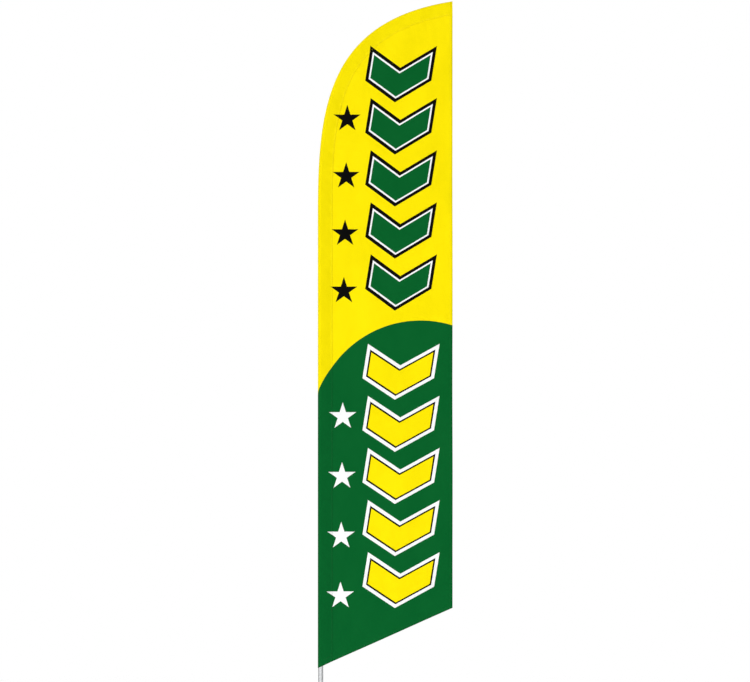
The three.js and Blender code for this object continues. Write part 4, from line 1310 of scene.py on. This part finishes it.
class FLAG_OT_keeper(bpy.types.Operator):
    """Form the clamped keeper band with its hook, screw and nut"""

    bl_idname = "feather_flag.keeper"
    bl_label = "Keeper"

    def execute(self, context):
        steel, soft = "bright_steel", 0.0003
        middle = (low("keeper_nut").z + high("keeper_nut").z) / 2
        half_height, wall, gap = 0.008, 0.0013, 0.0015
        inner, ear, ear_end = POLE_RADIUS + GAP, gap + wall, high("keeper_band").x
        outer = inner + wall

        def round_pole(radius, beside):
            start = math.asin(beside / radius)
            turn = np.linspace(start, 2 * math.pi - start, 96)
            return radius * np.stack([np.cos(turn), np.sin(turn)], axis=1)

        outline = np.concatenate([
            [[ear_end, gap], [ear_end, ear]], round_pole(outer, ear),
            [[ear_end, -ear], [ear_end, -gap]], round_pole(inner, gap)[::-1],
        ])
        piece("keeper_clamp", steel, *extruded(outline, middle - half_height, middle + half_height, 2),
              replaces=["keeper_band"], bevel=soft)

        back, lip, bar, drop = high("keeper_band").y, 0.0026, 0.004, 0.007
        bar_low, root = middle - bar / 2, outer - 0.0006
        outline = [[root, bar_low], [back - lip, bar_low], [back - lip, bar_low - drop],
                   [back, bar_low - drop], [back, bar_low + bar], [root, bar_low + bar]]
        outline, _ = eased(outline, 0.0011, steps=5)
        piece("keeper_hook", steel, *extruded(outline, -0.0025, 0.0025, 0), bevel=soft)

        # The socket in the screw's head is hexagonal, and so are the nut's sides.
        screw_x, shank, head, head_radius, centre = outer + 0.0055, 0.002, 0.0024, 0.0038, 0.0006
        under, end, nut = -ear - GAP, high("keeper_screw").y, ear + GAP
        face, socket = under - head, 0.00125
        profile = [
            [centre, end], [shank - 0.0004, end], [shank, end - 0.0004], [shank, under],
            [head_radius - 0.0002, under], [head_radius, under - 0.0003], [head_radius, under - 0.0012],
            [0.0031, face + 0.0003], [0.0022, face], [socket + 0.00015, face], [socket, face + 0.0002],
            [socket, under - 0.0009], [centre, under - 0.0008],
        ]
        screw = turned(profile, hexed=[0, 0, 0, 0, 0, 0, 0, 0, 0, 0.7, 1, 1, 0.5], closed=False)
        piece("keeper_screw_turned", steel, *laid(screw, screw_x, middle)[:2], replaces=["keeper_screw"])
        flats, hole, nut_end = 0.004 * math.cos(math.pi / 6), shank + GAP, high("keeper_nut").y
        profile = [
            [hole, nut + soft], [hole + soft, nut], [flats * 0.97, nut], [flats, nut + soft],
            [flats, nut_end - soft], [flats * 0.97, nut_end], [hole + soft, nut_end],
            [hole, nut_end - soft],
        ]
        shape = turned(profile, hexed=[0, 0, 0.15, 1, 1, 0.15, 0, 0])
        piece("keeper_nut_hex", steel, *laid(shape, screw_x, middle)[:2], replaces=["keeper_nut"])
        return {"FINISHED"}


class FLAG_OT_strap(bpy.types.Operator):
    """Sew on the strap that holds the flag down, and set its eyelet"""

    bl_idname = "feather_flag.strap"
    bl_label = "Strap"

    def execute(self, context):
        half, top = high("tie_strap").x, high("tie_strap").z
        front, back = low("tie_strap").y, high("tie_strap").y
        eye, y = (low("tie_eyelet").z + high("tie_eyelet").z) / 2, (front + back) / 2

        # Round the eyelet the strap is a ring of rows between a circle and its own outline.
        way = circle(64, -math.pi / 2)
        square = np.abs(way).max(axis=1, keepdims=True)
        outline = half * np.where(way[:, 1:] > 0, way / square, way)
        rows = np.linspace(0, 1, 5)[:, None, None]
        hole = 0.0071
        ring = hole * way * (1 - rows) + outline * rows
        ring = np.stack([ring[..., 0], np.full(ring.shape[:2], y), ring[..., 1] + eye], axis=-1)
        ring_faces = grid_faces(5, 64, wrap_columns=True)

        # Above it the strap is a plain grid, which starts with the ring's own points across its top.
        across = np.sort(outline[np.isclose(outline[:, 1], half), 0])
        z = np.linspace(eye + half, top, 60)[:, None]
        sewn = 1 - ease(z, top - 0.075, top - 0.055)
        slack = 0.0006 * np.sin((z - eye) * 2 * math.pi / 0.09) * ease(z, eye + 0.011, eye + 0.03)
        cupped = 0.0005 * (across / half) ** 2 * ease(z, eye + 0.012, eye + 0.04)
        upper = np.stack([across + 0 * z, y + (slack + cupped) * sewn, z + 0 * across], axis=-1)
        upper_faces = (grid_faces(len(z), len(across)) + ring.size // 3)[:, ::-1]
        points = np.concatenate([ring.reshape(-1, 3), upper.reshape(-1, 3)])
        strap = piece("tie_strap_webbing", "webbing", points, [*ring_faces, *upper_faces],
                      replaces=["tie_strap"], closed=False)
        in_bmesh(strap.data, lambda work: bmesh.ops.remove_doubles(work, verts=work.verts, dist=1e-6))
        thicken(strap, back - front - 0.0001)

        inner, outer, flange, soft = 0.006, 0.010, 0.0008, 0.0006
        barrel, front, back_out = inner + flange, low("tie_eyelet").y, high("tie_eyelet").y
        profile = [
            [inner, front + 0.0004], [inner + soft, front], [outer - soft, front],
            [outer, front + 0.0003], [outer, front + flange], [barrel, front + flange],
            [barrel, back_out - flange], [outer, back_out - flange], [outer, back_out - 0.0003],
            [outer - soft, back_out], [inner + soft, back_out], [inner, back_out - 0.0004],
        ]
        piece("tie_eyelet_rolled", "bright_steel", *laid(turned(profile, 0.0003), 0, eye),
              replaces=["tie_eyelet"])

        # A box with a cross in it holds the strap to the sleeve.
        bottom, top, side = top - 0.046, top - 0.004, half - 0.003
        box = [[-side, bottom], [side, bottom], [side, top], [-side, top], [-side, bottom], [side, top]]
        rows = []
        for course in (np.array(box), np.array([[-side, top], [side, bottom]])):
            way = along(course)
            at = np.linspace(0, way[-1], 400)
            x, z = (np.interp(at, way, column) for column in course.T)
            line = np.stack([x, np.full(len(x), back + 0.0001), z], axis=1)
            rows.append((line, line + [0, OUTWARD, 0]))
        stitched("strap_stitching", "webbing", "dark_thread", rows)
        return {"FINISHED"}


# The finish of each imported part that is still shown, by words in its name.
PACKED_FINISHES = {
    "aluminium_tube": ("pole_section_2",),
    "fibreglass": ("pole_section_3", "pole_tip_rod"),
    "black_nylon": ("joint_collar",),
    "rubber": ("pole_tip_cap",),
    "webbing": ("tip_pocket",),
    "zinc_steel": ("housing_plug", "bearing_spacer"),
    "bright_steel": ("_ring", "_balls", "housing_clip", "spindle_clip"),
}


class FLAG_OT_finishes(bpy.types.Operator):
    """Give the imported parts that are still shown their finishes"""

    bl_idname = "feather_flag.finishes"
    bl_label = "Finishes of packed parts"

    def execute(self, context):
        for node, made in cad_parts.items():
            if made.hide_render:
                continue
            found = [slot for slot, words in PACKED_FINISHES.items() if any(w in node for w in words)]
            if len(found) != 1:
                raise RuntimeError(f"{node} needs one finish, and has {found}")
            made.data.materials.clear()
            made.data.materials.append(finish(found[0]))
        return {"FINISHED"}


class FLAG_OT_stage(bpy.types.Operator):
    """Set up the floor, the lights and the camera"""

    bl_idname = "feather_flag.stage"
    bl_label = "Stage"

    def execute(self, context):
        scene, stage = context.scene, context.scene.flag_stage
        self.add_floor(scene)
        self.add_world(scene)
        middle = (CAD_BOX[0].z + CAD_BOX[1].z) / 2
        self.add_light(scene, "Key", stage.key, 7.5, (-6.3, -9.75, 2.0), middle)
        self.add_light(scene, "Fill", stage.fill, 9.0, (9.0, -8.25, 0.8), middle)
        self.add_light(scene, "Back", stage.back, 7.5, (5.1, 10.5, 5.1), middle)
        lens = bpy.data.cameras.new("Camera")
        lens.lens, lens.sensor_width = stage.lens, 36.0
        lens.clip_start, lens.clip_end = 0.1, 200.0
        camera = bpy.data.objects.new("Camera", lens)
        camera.location = (stage.view[0], -stage.view_width * lens.lens / lens.sensor_width, stage.view[1])
        camera.rotation_euler = (math.pi / 2, 0, 0)
        scene.collection.objects.link(camera)
        scene.camera = camera
        scene.view_settings.view_transform = "Standard"
        return {"FINISHED"}

    def add_floor(self, scene):
        """A disc under the spike's point, made of rings that grow towards its edge, where it fades."""
        rings, spokes = 40, 96
        reach = np.linspace(0.02, 1, rings)[:, None] ** 1.5 * scene.flag_stage.floor_radius * 1.6
        flat = reach[:, None] * circle(spokes)
        points = np.insert(flat.reshape(-1, 2), 2, CAD_BOX[0].z - 0.002, axis=1)
        mesh = bpy.data.meshes.new("Floor")
        mesh.from_pydata(points.tolist(), [], capped(rings, spokes)[:-1])
        mesh.materials.append(finish("floor"))
        floor = bpy.data.objects.new("Floor", mesh)
        scene.collection.objects.link(floor)

    def add_world(self, scene):
        """Plain backdrop to the camera, and soft light from all round for the rest. What shiny things
        reflect is that light with the studio's dark floor line and dark flanks in it."""
        scene.world = bpy.data.worlds.new("Studio")
        scene.world.use_nodes = True
        w = Wiring(scene.world.node_tree)
        path = w.node("ShaderNodeLightPath", {}).outputs
        is_seen, is_gloss = (Signal(w, path[f"Is {kind} Ray"]) for kind in ("Camera", "Glossy"))
        across, _, up = w.apart(w.add("ShaderNodeTexCoord", {}, output="Generated"))
        flank = w.step(abs(across), 0.45, 0.95) * 0.85
        floor_line = w.step(abs(up + 0.12), 0.30, 0.02) * 0.8
        in_gloss = w.between(w.math("MAXIMUM", flank, floor_line), 1.15, 0.04)
        level = w.between(is_gloss, w.between(w.step(up, -0.25, 0.75), 0.8, 1.2), in_gloss)
        light = {"Color": (0.98, 0.99, 1.0), "Strength": level * scene.flag_stage.ambient}
        backdrop = {"Color": scene.flag_stage.backdrop, "Strength": 1.0}
        soft, seen = (w.add("ShaderNodeBackground", inputs) for inputs in (light, backdrop))
        w.surface(w.blend(is_seen, soft, seen), "World")

    def add_light(self, scene, name, energy, size, place, middle):
        """A square soft light, at a place from the flag's middle height, that faces the flag's middle."""
        lamp = bpy.data.lights.new(name, "AREA")
        lamp.energy, lamp.size = energy, size
        light = bpy.data.objects.new(name, lamp)
        x, y, up = place
        yaw = math.atan2(-y, 0.3 - x) - math.pi / 2
        pitch = math.atan2(-up, math.hypot(0.3 - x, y)) + math.pi / 2
        light.location, light.rotation_euler = (x, y, middle + up), (pitch, 0, yaw)
        light.visible_camera = False
        scene.collection.objects.link(light)


class FLAG_PT_sidebar(bpy.types.Panel):
    """The steps that build the flag, and their settings"""

    bl_idname = "FLAG_PT_sidebar"
    bl_label = "Feather Flag"
    bl_space_type = "VIEW_3D"
    bl_region_type = "UI"
    bl_category = "Feather Flag"

    def draw(self, context):
        for title, name, group, steps in SECTIONS:
            box = self.layout.box()
            box.label(text=title)
            for key in group.__annotations__:
                box.prop(getattr(context.scene, name), key)
            for step in steps:
                box.operator(step.bl_idname)


SECTIONS = (
    ("Cloth", "flag_cloth", FlagClothSettings,
     (FLAG_OT_panel, FLAG_OT_sleeve, FLAG_OT_hems, FLAG_OT_stitching)),
    ("Hardware", "flag_hardware", FlagHardwareSettings,
     (FLAG_OT_pole, FLAG_OT_spindle, FLAG_OT_spike, FLAG_OT_keeper, FLAG_OT_strap, FLAG_OT_finishes)),
    ("Print", "flag_print", FlagPrintSettings, ()),
    ("Stage", "flag_stage", FlagStageSettings, (FLAG_OT_stage,)),
)
STEPS = [step for section in SECTIONS for step in section[3]]


def register():
    for _, name, group, _ in SECTIONS:
        bpy.utils.register_class(group)
        setattr(bpy.types.Scene, name, PointerProperty(type=group))
    for step in (*STEPS, FLAG_PT_sidebar):
        bpy.utils.register_class(step)


def unregister():
    for step in (FLAG_PT_sidebar, *reversed(STEPS)):
        bpy.utils.unregister_class(step)
    for _, name, group, _ in SECTIONS:
        delattr(bpy.types.Scene, name)
        bpy.utils.unregister_class(group)


def main():
    register()
    for step in STEPS:
        family, name = step.bl_idname.split(".")
        getattr(getattr(bpy.ops, family), name)()


if __name__ == "__main__":
    main()
